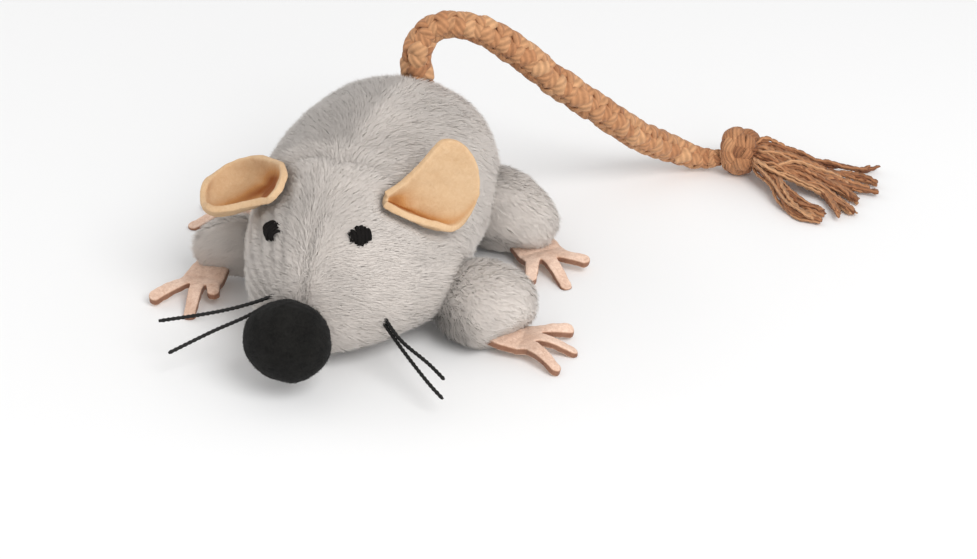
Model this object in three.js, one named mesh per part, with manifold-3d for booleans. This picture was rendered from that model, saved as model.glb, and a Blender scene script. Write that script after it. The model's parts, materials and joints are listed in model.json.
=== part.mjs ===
// A stuffed plush mouse with felt ears, leather paws, a felt nose and a braided cord for a tail.
// Millimetres, +Z up. The toy faces -Y and rests on its flattened belly at z = 0, with the
// origin under its middle. Left and right are the mouse's own: its left side is towards +X.
import * as THREE from "three";
import { mergeVertices } from "three/addons/utils/BufferGeometryUtils.js";
import Module from "manifold-3d";

const wasm = await Module();
wasm.setup();
const { degToRad } = THREE.MathUtils;

// Trunk: head and body, one swelling form that the neck seam divides
const trunkLength = 102;
const trunkWidth = 59;
const trunkHeight = 50.5;
const originShare = 0.47;
const bellyCut = 0.5;
const neckShare = 0.343;
const neckLean = degToRad(10);
const coverThickness = 1.6;
const seamGap = 0.3;
const trunkRings = 30;
const trunkSides = 32;
const fillingRings = 14;
const fillingSides = 16;
const waistShare = 0.38;
const squarenessShare = 0.93;
const bellyShare = -bellyCut / trunkHeight;
// Each row: shares of the trunk's length, of half its width, and of its height for top and underside.
const trunkShares = [
  [0, 0, 0.3, 0.3],
  [0.007, 0.16, 0.4, 0.2],
  [0.03, 0.34, 0.52, 0.13],
  [0.08, 0.56, 0.67, 0.075],
  [0.147, 0.73, 0.79, 0.045],
  [0.235, 0.87, 0.885, 0.025],
  [0.333, 0.95, 0.955, 0.005],
  [0.47, 0.99, 0.99, bellyShare],
  [0.61, 1, 1, bellyShare],
  [0.745, 0.97, 0.965, bellyShare],
  [0.863, 0.85, 0.86, 0],
  [0.94, 0.64, 0.71, 0.06],
  [0.985, 0.37, 0.56, 0.16],
  [0.997, 0.19, 0.48, 0.26],
  [1, 0, 0.4, 0.4],
];

// Legs: stuffed stubs sewn to the trunk's sides, each with a leather paw
const legRings = 10;
const legSides = 16;
const stuffedRings = 8;
const stuffedSides = 10;
const legSwing = degToRad(12);
const swingStops = 4;
const floorGap = 0.3;
const frontLegRadius = 11.2;
const rearLegRadius = 12.5;
const longLegReach = 18.5;
const tuckedLegReach = 16;
const rearLegReach = 17.5;
const legThickness = 1.4;
const legTaperShare = 0.84;
const pawThickness = 2;
const palmLength = 7;
const wristWidth = 9;
const knuckleWidth = 11.5;
const fingerLength = 11;
const fingerWidth = 3.1;
const fingerRounding = 5;
const tabLength = 5;
const pawPitch = degToRad(7);
// Places are shares of half the trunk's width, of its length from the nose end, and of its height.
// A paw's fingers each have a turn from its heading, and a share of the finger length.
const legs = [
  {
    name: "front_left",
    radius: frontLegRadius,
    halfLength: longLegReach,
    middleShares: [1.2, 0.284, 0.22],
    endShares: [1.82, 0.26, 0.18],
    hipShares: [0.86, 0.315, 0.22],
    wristShares: [1.52, 0.303],
    heading: 4,
    fingers: [[-34, 1], [0, 1.02], [34, 1]],
  },
  {
    name: "front_right",
    radius: frontLegRadius,
    halfLength: tuckedLegReach,
    middleShares: [-1.03, 0.352, 0.21],
    endShares: [-1.56, 0.333, 0.18],
    hipShares: [-0.86, 0.362, 0.22],
    wristShares: [-1.4, 0.36],
    heading: -88,
    fingers: [[-38, 1], [3, 1.05], [40, 0.4]],
  },
  {
    name: "rear_left",
    radius: rearLegRadius,
    halfLength: rearLegReach,
    middleShares: [1.03, 0.76, 0.28],
    endShares: [1.56, 0.75, 0.14],
    hipShares: [0.83, 0.75, 0.26],
    wristShares: [1.27, 0.745],
    heading: -33,
    fingers: [[-40, 0.85], [-8, 1.05], [33, 0.72]],
  },
  {
    name: "rear_right",
    radius: rearLegRadius,
    halfLength: rearLegReach,
    middleShares: [-1.03, 0.76, 0.28],
    endShares: [-1.56, 0.75, 0.14],
    hipShares: [-0.83, 0.75, 0.26],
    wristShares: [-1.4, 0.725],
    heading: 208,
    fingers: [[-37, 0.9], [0, 1.05], [38, 0.85]],
  },
];

// Ears: round felt pieces pinched at the sewn corner, so that they cup
const earLength = 25.4;
const earWidth = 23;
const earThickness = 1.7;
const earLift = degToRad(25);
const earPress = degToRad(4);
const pinchBend = degToRad(150);
const pinchFalloff = 1.5;
const rimBend = degToRad(34);
const backBendShare = 0.35;
const earRings = 12;
const earSteps = 7;
// Each row: shares of the ear's length, and of half its width for the back edge and the front edge.
const earShares = [
  [0, 0.16, 0.34],
  [0.1, 0.28, 0.56],
  [0.24, 0.5, 0.8],
  [0.4, 0.9, 0.97],
  [0.56, 1, 1],
  [0.72, 0.92, 0.93],
  [0.88, 0.66, 0.68],
  [0.97, 0.32, 0.34],
  [1, 0.1, 0.12],
];
// An ear's corner is a place on the trunk. The ear runs one way from it, and its back edge the other way.
const ears = [
  {
    name: "left_ear",
    cornerShares: [0.49, 0.238, 0.85],
    along: [0.79, 0.6, 0.06],
    backward: [-0.08, 0.08, 1],
    facing: [1, -1, 0],
  },
  {
    name: "right_ear",
    cornerShares: [-0.49, 0.24, 0.825],
    along: [-0.91, 0.14, -0.38],
    backward: [-0.06, 0.97, 0.2],
    facing: [0, 0, 1],
  },
];

// Face
const noseWidth = 23.5;
const noseDepth = 19;
const noseHeight = 22.5;
const noseSides = 18;
const noseRings = 12;
const noseShares = [0, -0.07, 0.285];
const eyeWidth = 6.6;
const eyeHeight = 5.4;
const eyeDepth = 5;
const eyeSides = 14;
const eyeRings = 10;
const eyes = [
  { name: "left_eye", shares: [0.385, 0.145, 0.7] },
  { name: "right_eye", shares: [-0.4, 0.13, 0.665] },
];
const whiskerDiameter = 1.1;
const whiskerSteps = 12;
const whiskerSides = 8;
const whiskerRoutes = {
  left_upper_whisker: [
    [12, -29, 18.6],
    [15.3, -33, 17.3],
    [18.4, -36.4, 15.8],
    [25.4, -42.4, 13.2],
    [34.8, -47, 10.6],
    [39.7, -50.2, 9],
  ],
  left_lower_whisker: [
    [12, -30, 16.6],
    [15, -33.6, 15.5],
    [17.8, -37, 14.2],
    [25, -43, 11.9],
    [36.4, -51.6, 7.6],
    [40.4, -53.8, 5.6],
  ],
  right_upper_whisker: [
    [-3, -37, 22.4],
    [-6, -41.5, 21.4],
    [-9.2, -44.7, 20.2],
    [-16, -47.6, 17.8],
    [-23.6, -49.6, 15.6],
    [-36, -53, 13],
  ],
  right_lower_whisker: [
    [-3.4, -38, 20.2],
    [-6.4, -42.2, 19.4],
    [-9.4, -45.6, 18.2],
    [-15, -48.6, 15.4],
    [-21.4, -51.6, 12.2],
    [-30.8, -59.2, 8],
  ],
};

// Tail: a braided cord whose root is held in the rump and whose far end is tied in a knot and frays
const tailDiameter = 8.8;
const tailTipDiameter = 5.6;
const tailSides = 10;
const tailSteps = 26;
const tailRoute = [
  [1.2, 40, 33],
  [1.1, 39.8, 38],
  [0.9, 39.4, 44],
  [0.8, 38.7, 52],
  [2.6, 40.8, 58],
  [8.2, 43.2, 61],
  [14, 44.8, 60.2],
  [19, 47, 57],
  [26.6, 51.6, 50],
  [33.8, 57, 41.5],
  [43.6, 65.4, 30.6],
  [53.4, 78.8, 16.6],
  [60.6, 89.6, 8.2],
  [66.4, 94.2, 4.6],
  [72.2, 97, 4.2],
  [77.9, 100.4, 6],
];
const knotRadius = 5.4;
const knotWrapRadius = 2.4;
const knotSides = 14;
const knotRings = 9;
const knotWrapSides = 6;
const knotWrapTurns = [60, 20, 0];
const tasselLength = 34;
const tasselHeading = degToRad(-17);
const tasselSpread = degToRad(30);
const tasselRootDiameter = 8;
const tasselRootLength = 14;
const tasselRootSides = 8;
const strandDiameter = 2;
const strandCount = 13;
const strandSteps = 4;
const strandSides = 5;
const strandHalfwayShare = 0.5;
const strandBowShare = 0.18;
const strandLengthShares = [1, 0.88, 0.76];
const strandLayerShares = [0.5, 1];

const looks = {
  fur: { color: 0xb4aca6, roughness: 0.95, metalness: 0 },
  filling: { color: 0xf2f0ea, roughness: 1, metalness: 0 },
  earFelt: { color: 0xe0bd90, roughness: 0.95, metalness: 0 },
  leather: { color: 0xc99f8a, roughness: 0.9, metalness: 0 },
  noseFelt: { color: 0x222221, roughness: 0.95, metalness: 0 },
  thread: { color: 0x1c1a19, roughness: 0.6, metalness: 0 },
  braid: { color: 0xbf8a52, roughness: 0.8, metalness: 0 },
};

const toy = new THREE.Group();
const weldDistance = 1e-4;

function addPiece(name, solid, look) {
  const made = solid.getMesh();
  const geometry = new THREE.BufferGeometry();
  geometry.setAttribute("position", new THREE.BufferAttribute(made.vertProperties, 3));
  geometry.setIndex(new THREE.BufferAttribute(made.triVerts, 1));
  geometry.computeVertexNormals();
  const mesh = new THREE.Mesh(geometry, new THREE.MeshStandardMaterial(look));
  mesh.name = name;
  toy.add(mesh);
}

function solidFrom(geometry) {
  const bare = new THREE.BufferGeometry();
  bare.setAttribute("position", geometry.getAttribute("position"));
  bare.setIndex(geometry.index);
  const merged = mergeVertices(bare, weldDistance);
  return new wasm.Manifold(
    new wasm.Mesh({
      numProp: 3,
      vertProperties: new Float32Array(merged.getAttribute("position").array),
      triVerts: new Uint32Array(merged.index.array),
    }),
  );
}

function moved(solid, matrix) {
  return solid.transform(matrix.toArray());
}

// A place given as shares of half the trunk's width, of its length from the nose end, and of its height.
function pointAt([x, y, z = 0]) {
  return new THREE.Vector3((x * trunkWidth) / 2, (y - originShare) * trunkLength, z * trunkHeight);
}

// A closed skin over rings of points, with the first and last ring closed at their middle.
function skinOver(rings) {
  const sides = rings[0].length;
  const points = rings.flat();
  const faces = [];
  for (let i = 0; i + 1 < rings.length; i++) {
    for (let j = 0; j < sides; j++) {
      const a = i * sides + j;
      const b = i * sides + ((j + 1) % sides);
      faces.push(a, b, a + sides, b, b + sides, a + sides);
    }
  }
  const lastStart = points.length - sides;
  for (const [start, ring] of [[0, rings[0]], [lastStart, rings.at(-1)]]) {
    const middle = points.length;
    points.push(ring.reduce((sum, p) => sum.add(p), new THREE.Vector3()).divideScalar(sides));
    for (let j = 0; j < sides; j++) {
      const a = start + j;
      const b = start + ((j + 1) % sides);
      faces.push(...(start ? [a, b, middle] : [b, a, middle]));
    }
  }
  const geometry = new THREE.BufferGeometry().setFromPoints(points);
  geometry.setIndex(faces);
  return solidFrom(geometry);
}

// The trunk grown outwards by a distance, or shrunk where that is negative.
const rowPoints = trunkShares.map(([along, width, top]) => new THREE.Vector3(along, width, top));
const undersidePoints = trunkShares.map(([along, width, , under]) => new THREE.Vector3(along, width, under));
const upperCurve = new THREE.CatmullRomCurve3(rowPoints, false, "catmullrom");
const underCurve = new THREE.CatmullRomCurve3(undersidePoints, false, "catmullrom");

function trunk(grow, ringCount, sides) {
  const rings = [];
  for (let i = 0; i <= ringCount; i++) {
    const upper = upperCurve.getPoint(i / ringCount);
    const under = underCurve.getPoint(i / ringCount).z;
    const waist = under + waistShare * (upper.z - under);
    const ring = [];
    for (let j = 0; j < sides; j++) {
      const turn = (j / sides) * 2 * Math.PI;
      const [c, s] = [Math.cos(turn), Math.sin(turn)];
      const across = Math.max(upper.y, 0) * Math.sign(c) * Math.abs(c) ** squarenessShare;
      const rise = Math.sign(s) * Math.abs(s) ** squarenessShare;
      ring.push(pointAt([across, upper.x, waist + rise * (s > 0 ? upper.z - waist : waist - under)]));
    }
    rings.push(ring);
  }
  const middle = pointAt([0, 0.5, 0.5]);
  const size = new THREE.Vector3(trunkWidth, trunkLength, trunkHeight);
  const scale = size.clone().addScalar(2 * grow).divide(size);
  const matrix = new THREE.Matrix4()
    .makeTranslation(...middle)
    .scale(scale)
    .multiply(new THREE.Matrix4().makeTranslation(...middle.clone().negate()));
  return moved(skinOver(rings.reverse()), matrix);
}

const farOut = 2 * trunkLength;

function halfSpace(matrix) {
  const block = new THREE.BoxGeometry(farOut, farOut, farOut);
  block.deleteAttribute("uv");
  block.deleteAttribute("normal");
  return moved(solidFrom(block.translate(0, farOut / 2, 0)), matrix);
}

const floorBlock = halfSpace(new THREE.Matrix4().makeRotationX(-Math.PI / 2));
const neckPlane = new THREE.Matrix4()
  .makeTranslation(...pointAt([0, neckShare, 0.5]))
  .multiply(new THREE.Matrix4().makeRotationX(neckLean));
function neckBlock(towardsRump) {
  const half = neckPlane.clone();
  if (!towardsRump) half.multiply(new THREE.Matrix4().makeRotationZ(Math.PI));
  return halfSpace(half.multiply(new THREE.Matrix4().makeTranslation(0, -seamGap / 2, 0)));
}

function ellipsoid(x, y, z, around, along) {
  const ball = new THREE.SphereGeometry(0.5, around, along);
  ball.deleteAttribute("uv");
  ball.deleteAttribute("normal");
  return solidFrom(ball.scale(x, y, z));
}

// A tube along a route, whose diameter changes evenly from start to end.
function tube(route, startDiameter, endDiameter, sides, steps) {
  const curve = new THREE.CatmullRomCurve3(route);
  const frames = curve.computeFrenetFrames(steps, false);
  const rings = [];
  for (let i = 0; i <= steps; i++) {
    const share = i / steps;
    const radius = THREE.MathUtils.lerp(startDiameter, endDiameter, share) / 2;
    const middle = curve.getPointAt(share);
    const ring = [];
    for (let j = 0; j < sides; j++) {
      const turn = (j / sides) * 2 * Math.PI;
      ring.push(
        middle
          .clone()
          .addScaledVector(frames.normals[i], radius * Math.cos(turn))
          .addScaledVector(frames.binormals[i], radius * Math.sin(turn)),
      );
    }
    rings.push(ring);
  }
  return skinOver(rings);
}

const asPoints = (list) => list.map((p) => new THREE.Vector3(...p));

const hollow = trunk(-coverThickness, fillingRings, fillingSides);
const stuffing = trunk(-coverThickness - seamGap, fillingRings, fillingSides);
const clearOfTrunk = trunk(seamGap, trunkRings, trunkSides);
const tailPath = asPoints(tailRoute);
const braid = (gap) => {
  const room = 2 * gap;
  return tube(tailPath, tailDiameter + room, tailTipDiameter + room, tailSides, tailSteps);
};
const tailHole = braid(seamGap);

const shell = trunk(0, trunkRings, trunkSides).subtract(hollow).subtract(floorBlock);
addPiece("body_cover", shell.subtract(neckBlock(false)).subtract(tailHole), looks.fur);
addPiece("body_filling", stuffing.subtract(neckBlock(false)).subtract(tailHole), looks.filling);

let headCover = shell.subtract(neckBlock(true));
let headFilling = stuffing.subtract(neckBlock(true));
for (const [name, route] of Object.entries(whiskerRoutes)) {
  const thread = (diameter) => tube(asPoints(route), diameter, diameter, whiskerSides, whiskerSteps);
  const hole = thread(whiskerDiameter + 2 * seamGap);
  headCover = headCover.subtract(hole);
  headFilling = headFilling.subtract(hole);
  addPiece(name, thread(whiskerDiameter), looks.thread);
}
addPiece("head_cover", headCover, looks.fur);
addPiece("head_filling", headFilling, looks.filling);

// A paw lies along +X with its wrist at the origin and its underside at z = 0. It can be grown all round.
function slab(outline, thickness) {
  const flat = new THREE.Shape(outline);
  const plate = new THREE.ExtrudeGeometry(flat, { depth: thickness, bevelEnabled: false });
  plate.deleteAttribute("uv");
  plate.deleteAttribute("normal");
  return solidFrom(mergeVertices(plate));
}

function fingerOutline(length, width) {
  const points = [new THREE.Vector2(-width, width / 2), new THREE.Vector2(-width, -width / 2)];
  for (let i = 0; i <= fingerRounding; i++) {
    const turn = Math.PI * (i / fingerRounding - 0.5);
    points.push(new THREE.Vector2(length + ((Math.cos(turn) - 1) * width) / 2, (Math.sin(turn) * width) / 2));
  }
  return points;
}

function paw(fingers, grow) {
  const [wrist, knuckles] = [wristWidth / 2 + grow, knuckleWidth / 2 + grow];
  const outline = [
    new THREE.Vector2(-tabLength - grow, -wrist),
    new THREE.Vector2(0, -wrist),
    new THREE.Vector2(palmLength, -knuckles),
    new THREE.Vector2(palmLength, knuckles),
    new THREE.Vector2(0, wrist),
    new THREE.Vector2(-tabLength - grow, wrist),
  ];
  let made = slab(outline, pawThickness + 2 * grow);
  fingers.forEach(([turn, share], i) => {
    const place = new THREE.Matrix4()
      .makeTranslation(palmLength, (i - 1) * (knuckleWidth - fingerWidth) / 2, 0)
      .multiply(new THREE.Matrix4().makeRotationZ(degToRad(turn)));
    const finger = fingerOutline(share * fingerLength + grow, fingerWidth + 2 * grow);
    made = made.add(moved(slab(finger, pawThickness + 2 * grow), place));
  });
  return made.translate(0, 0, -grow);
}

// A leg is an egg along its own Y, thinner at the wrist.
function egg(radius, halfLength, sides, rings) {
  const ball = new THREE.SphereGeometry(1, sides, rings);
  ball.deleteAttribute("uv");
  ball.deleteAttribute("normal");
  const places = ball.getAttribute("position");
  for (let i = 0; i < places.count; i++) {
    const along = places.getY(i);
    const taper = THREE.MathUtils.lerp(1, legTaperShare, (along + 1) / 2);
    places.setXYZ(i, places.getX(i) * radius * taper, along * halfLength, places.getZ(i) * radius * taper);
  }
  return solidFrom(ball);
}

function turnedAbout(solid, pivot, axis, angle) {
  return moved(
    solid,
    new THREE.Matrix4()
      .makeTranslation(...pivot)
      .multiply(new THREE.Matrix4().makeRotationAxis(axis, angle))
      .multiply(new THREE.Matrix4().makeTranslation(...pivot.clone().negate())),
  );
}

// What is left of a piece when the obstacle is cut from it at every angle of its swing.
function clearedSwing(piece, obstacle, pivot, axis, lowest, highest) {
  let left = piece;
  for (let i = 0; i <= swingStops; i++) {
    const angle = THREE.MathUtils.lerp(lowest, highest, i / swingStops);
    left = left.subtract(turnedAbout(obstacle, pivot, axis, -angle));
  }
  return left.subtract(obstacle);
}

const upright = new THREE.Vector3(0, 0, 1);
const raisedFloor = floorBlock.translate(0, 0, floorGap);
for (const { name, radius, halfLength, heading, fingers, ...shares } of legs) {
  const middle = pointAt(shares.middleShares);
  const way = pointAt(shares.endShares).sub(middle).normalize();
  const turn = new THREE.Quaternion().setFromUnitVectors(new THREE.Vector3(0, 1, 0), way);
  const place = new THREE.Matrix4().compose(middle, turn, new THREE.Vector3(1, 1, 1));
  const wrist = pointAt(shares.wristShares);
  wrist.z = floorGap + (palmLength + fingerLength) * Math.sin(pawPitch);
  const pawPlace = new THREE.Matrix4()
    .makeTranslation(...wrist)
    .multiply(new THREE.Matrix4().makeRotationZ(degToRad(heading)))
    .multiply(new THREE.Matrix4().makeRotationY(pawPitch));
  const pawSlot = moved(paw(fingers, seamGap), pawPlace);
  const hip = pointAt(shares.hipShares);
  const outer = moved(egg(radius, halfLength, legSides, legRings), place);
  const [hollowEgg, stuffedEgg] = [legThickness, legThickness + seamGap].map((inset) =>
    moved(egg(radius - inset, halfLength - inset, stuffedSides, stuffedRings), place),
  );
  const stub = clearedSwing(outer, clearOfTrunk, hip, upright, -legSwing, legSwing).subtract(raisedFloor);
  addPiece(name + "_leg", stub.subtract(hollowEgg).subtract(pawSlot), looks.fur);
  addPiece(name + "_filling", stub.intersect(stuffedEgg).subtract(pawSlot), looks.filling);
  addPiece(name + "_paw", moved(paw(fingers, 0), pawPlace), looks.leather);
}

// An ear's rings run from the pinched corner to the far rim, each round the felt's front and back.
// The felt lies along X, faces Y and has its back edge towards Z. Its front edge curls the most.
const earCurve = new THREE.CatmullRomCurve3(asPoints(earShares), false, "catmullrom");
function ear() {
  const rings = [];
  for (let i = 0; i <= earRings; i++) {
    const { x: share, y: backShare, z: frontShare } = earCurve.getPoint(i / earRings);
    const bend = pinchBend * Math.max(1 - share, 0) ** pinchFalloff + rimBend;
    const rows = [];
    for (const [side, halfWidth, edgeBend] of [
      [-1, (frontShare * earWidth) / 2, bend / 2],
      [1, (backShare * earWidth) / 2, (backBendShare * bend) / 2],
    ]) {
      let [across, depth] = [0, 0];
      for (let j = 1; j <= earSteps; j++) {
        const slope = (edgeBend * j) / earSteps;
        across += (Math.cos(slope) * halfWidth) / earSteps;
        depth += (Math.sin(slope) * halfWidth) / earSteps;
        rows.push({ across: side * across, depth, slope: side * slope });
      }
      if (side < 0) rows.reverse().push({ across: 0, depth: 0, slope: 0 });
    }
    const face = (thickness) => (row) =>
      new THREE.Vector3(
        share * earLength,
        row.depth - thickness * Math.cos(row.slope),
        row.across + thickness * Math.sin(row.slope),
      );
    rings.push([...rows.map(face(0)), ...rows.map(face(earThickness)).reverse()]);
  }
  return skinOver(rings);
}

for (const { name, cornerShares, along, backward, facing } of ears) {
  const corner = pointAt(cornerShares);
  const x = new THREE.Vector3(...along).normalize();
  const z = new THREE.Vector3(...backward).projectOnPlane(x).normalize();
  const y = new THREE.Vector3().crossVectors(z, x);
  if (y.dot(new THREE.Vector3(...facing)) < 0) y.negate();
  const felt = moved(ear(), new THREE.Matrix4().makeBasis(x, y, z).setPosition(corner));
  const lifting = new THREE.Vector3().crossVectors(x, y);
  addPiece(name, clearedSwing(felt, clearOfTrunk, corner, lifting, -earPress, earLift), looks.earFelt);
}

const noseBall = ellipsoid(noseWidth, noseDepth, noseHeight, noseSides, noseRings);
addPiece("nose", noseBall.translate(...pointAt(noseShares)).subtract(clearOfTrunk), looks.noseFelt);

for (const { name, shares } of eyes) {
  const stitches = ellipsoid(eyeWidth, eyeDepth, eyeHeight, eyeSides, eyeRings);
  addPiece(name, stitches.translate(...pointAt(shares)).subtract(clearOfTrunk), looks.thread);
}

// The knot is a ball with one turn of the cord wrapped over it. It can be grown all round.
function knot(grow) {
  const size = 2 * (knotRadius + grow);
  const wrapMiddle = knotRadius - knotWrapRadius / 2;
  const wrap = new THREE.TorusGeometry(wrapMiddle, knotWrapRadius + grow, knotWrapSides, knotSides);
  wrap.deleteAttribute("uv");
  wrap.deleteAttribute("normal");
  const ball = ellipsoid(size, size, size, knotSides, knotRings);
  return ball.add(solidFrom(wrap).rotate(knotWrapTurns)).translate(...tailPath.at(-1));
}

addPiece("tail_cord", braid(0).subtract(knot(seamGap)), looks.braid);
addPiece("tail_knot", knot(0).subtract(raisedFloor), looks.braid);

// The frayed end: strands that leave the knot together, fan out and settle on the floor.
function tassel() {
  const start = tailPath.at(-1);
  const out = (turn, reach, z) =>
    new THREE.Vector3(start.x + reach * Math.cos(turn), start.y + reach * Math.sin(turn), z);
  const rootEnd = knotRadius + tasselRootLength;
  const rootMiddle = out(tasselHeading, rootEnd / 2, start.z);
  const root = [start.clone(), rootMiddle, out(tasselHeading, rootEnd, strandDiameter)];
  let made = tube(root, tasselRootDiameter, strandDiameter, tasselRootSides, strandSteps);
  for (let i = 0; i < strandCount; i++) {
    const side = (2 * i) / (strandCount - 1) - 1;
    const reach = knotRadius + tasselLength * strandLengthShares[i % strandLengthShares.length];
    const height = floorGap + strandDiameter * strandLayerShares[i % strandLayerShares.length];
    const turn = tasselHeading + tasselSpread * side;
    const halfway = out(turn + tasselSpread * strandBowShare * side, strandHalfwayShare * reach, start.z / 2);
    const strand = [start.clone(), halfway, out(turn, reach, height)];
    made = made.add(tube(strand, strandDiameter, strandDiameter, strandSides, strandSteps));
  }
  return made.subtract(knot(seamGap)).subtract(raisedFloor);
}
addPiece("tail_tassel", tassel(), looks.braid);

export default toy;
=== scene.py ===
# %% [markdown]
# # A plush mouse with a rope tail
#
# The toy is a stuffed plush trunk with four stuffed leg stubs, felt ears, leather paws, a felted nose,
# stitched eyes, thread whiskers and a braided cord for a tail. The construction is already built and loaded
# here as a fixed frame. This notebook dresses it step by step: first the forms, then their pile and their
# finishes, and at the end what each piece rides on. Everything is in metres, where the frame has it.

# %% Load the frame
import json
import math

import bpy
import numpy as np
from mathutils import Matrix, Vector, noise
from mathutils.bvhtree import BVHTree
from mathutils.kdtree import KDTree


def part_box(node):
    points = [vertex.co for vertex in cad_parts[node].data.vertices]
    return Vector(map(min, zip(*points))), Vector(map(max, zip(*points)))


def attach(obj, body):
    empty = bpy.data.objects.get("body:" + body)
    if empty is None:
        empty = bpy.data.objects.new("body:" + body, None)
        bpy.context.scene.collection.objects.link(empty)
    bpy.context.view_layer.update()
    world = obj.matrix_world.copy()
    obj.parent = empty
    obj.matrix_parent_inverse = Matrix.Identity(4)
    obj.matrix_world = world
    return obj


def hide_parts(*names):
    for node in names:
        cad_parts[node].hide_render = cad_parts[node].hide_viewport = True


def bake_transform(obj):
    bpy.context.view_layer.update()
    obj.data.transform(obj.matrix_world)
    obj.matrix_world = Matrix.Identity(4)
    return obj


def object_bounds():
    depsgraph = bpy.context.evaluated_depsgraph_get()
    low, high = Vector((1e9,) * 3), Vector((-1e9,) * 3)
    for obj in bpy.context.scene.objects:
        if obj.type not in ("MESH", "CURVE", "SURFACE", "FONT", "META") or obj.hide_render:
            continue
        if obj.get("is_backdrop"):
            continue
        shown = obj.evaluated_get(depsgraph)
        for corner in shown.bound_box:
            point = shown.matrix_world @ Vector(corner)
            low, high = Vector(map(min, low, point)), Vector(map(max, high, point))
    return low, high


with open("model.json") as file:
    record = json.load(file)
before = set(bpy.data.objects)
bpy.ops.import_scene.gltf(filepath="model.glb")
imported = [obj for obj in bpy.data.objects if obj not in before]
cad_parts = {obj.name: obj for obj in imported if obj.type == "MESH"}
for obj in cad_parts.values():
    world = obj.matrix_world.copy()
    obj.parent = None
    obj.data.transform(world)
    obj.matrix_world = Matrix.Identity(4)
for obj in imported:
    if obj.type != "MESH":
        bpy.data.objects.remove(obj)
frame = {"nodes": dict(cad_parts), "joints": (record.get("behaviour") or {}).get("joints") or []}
cad_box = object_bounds()
bpy.ops.object.select_all(action="DESELECT")
mm = 0.001
print("nodes in the frame:", len(frame["nodes"]))

# %% [markdown]
# ## The camera
#
# The picture was taken from the mouse's left front, looking down at it with a long lens. A long lens keeps
# the nose from looking larger than the rump.

# %% Place the camera
camera_place = Vector((221.78, -560.2, 350)) * mm
camera_aim = Vector((29.43, 14.69, 0)) * mm
camera_data = bpy.data.cameras.new("portrait_camera")
camera_data.lens = 95.435
camera_data.sensor_width = 36
camera = bpy.data.objects.new("portrait_camera", camera_data)
bpy.context.collection.objects.link(camera)
camera.location = camera_place
camera.rotation_euler = (camera_aim - camera_place).to_track_quat("-Z", "Y").to_euler()
bpy.context.scene.camera = camera
print("camera distance", round((camera_aim - camera_place).length, 3))

# %% [markdown]
# ## Cords as swept skins
#
# A cord is a section carried along a route. The route is one smooth curve through a few given points, and
# the section keeps its heading from step to step, so that it never twists by itself. Any twist or braid is
# then put in on purpose.


# %% Smooth routes and carried sections
def unit(vectors):
    return vectors / np.maximum(np.linalg.norm(vectors, axis=-1, keepdims=True), 1e-12)


def run_along(path):
    """How far along a path each of its points lies."""
    return np.concatenate([[0], np.cumsum(np.linalg.norm(np.diff(path, axis=0), axis=1))])


def length_of(path):
    return float(np.linalg.norm(np.diff(path, axis=0), axis=1).sum())


steps_between_points = 60


def smooth_route(points, steps):
    """Evenly spaced places on a smooth curve through the points."""
    places = np.array(points, float)
    places = np.vstack([2 * places[0] - places[1], places, 2 * places[-1] - places[-2]])
    knots = np.concatenate([[0], np.cumsum(np.linalg.norm(np.diff(places, axis=0), axis=1) ** 0.5)])
    fine = []
    for i in range(1, len(places) - 2):
        at = np.linspace(knots[i], knots[i + 1], steps_between_points, endpoint=False)[:, None]
        p, k = places[i - 1 : i + 3], knots[i - 1 : i + 3]
        a = [(p[j] * (k[j + 1] - at) + p[j + 1] * (at - k[j])) / (k[j + 1] - k[j]) for j in range(3)]
        b = [(a[j] * (k[j + 2] - at) + a[j + 1] * (at - k[j])) / (k[j + 2] - k[j]) for j in range(2)]
        fine.append((b[0] * (k[2] - at) + b[1] * (at - k[1])) / (k[2] - k[1]))
    fine = np.vstack(fine + [places[-2:-1]])
    reach = run_along(fine)
    wanted = np.linspace(0, reach[-1], steps + 1)
    return np.stack([np.interp(wanted, reach, fine[:, k]) for k in range(3)], 1)


def carried(path):
    """Two sideways directions at each step of a path, carried along without twist."""
    tangents = unit(np.gradient(path, axis=0))
    first = np.array([0.0, 0.0, 1.0]) if abs(tangents[0, 2]) < 0.9 else np.array([1.0, 0.0, 0.0])
    sides = np.empty_like(tangents)
    for i, tangent in enumerate(tangents):
        first = unit(first - tangent * first.dot(tangent))
        sides[i] = first
    return sides, np.cross(tangents, sides)


def ways_out(side, up, turn):
    """The way out from a path at each of its steps, for each turn round it."""
    return np.cos(turn)[None, :, None] * side[:, None] + np.sin(turn)[None, :, None] * up[:, None]


print("routes are ready")


# %% Skins and notes
def with_end_middles(rings):
    """The rows of all rings in one list, and after them the mean of the first ring and of the last."""
    return np.vstack([rings.reshape(-1, rings.shape[-1]), rings[0].mean(0), rings[-1].mean(0)])


def skin_over(rings):
    """Points and faces of a closed skin over rings of points, with both ends closed at their middle."""
    count, sides = rings.shape[:2]
    i, j = np.meshgrid(np.arange(count - 1), np.arange(sides), indexing="ij")
    a = (i * sides + j).ravel()
    b = (i * sides + (j + 1) % sides).ravel()
    quads = np.stack([a, b, b + sides, a + sides], 1)
    ring = np.arange(sides)
    after = (ring + 1) % sides
    start, end = np.full(sides, count * sides), (count - 1) * sides
    caps = [np.stack([after, ring, start], 1), np.stack([end + ring, end + after, start + 1], 1)]
    return with_end_middles(rings), [quads, np.vstack(caps)]


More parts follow.
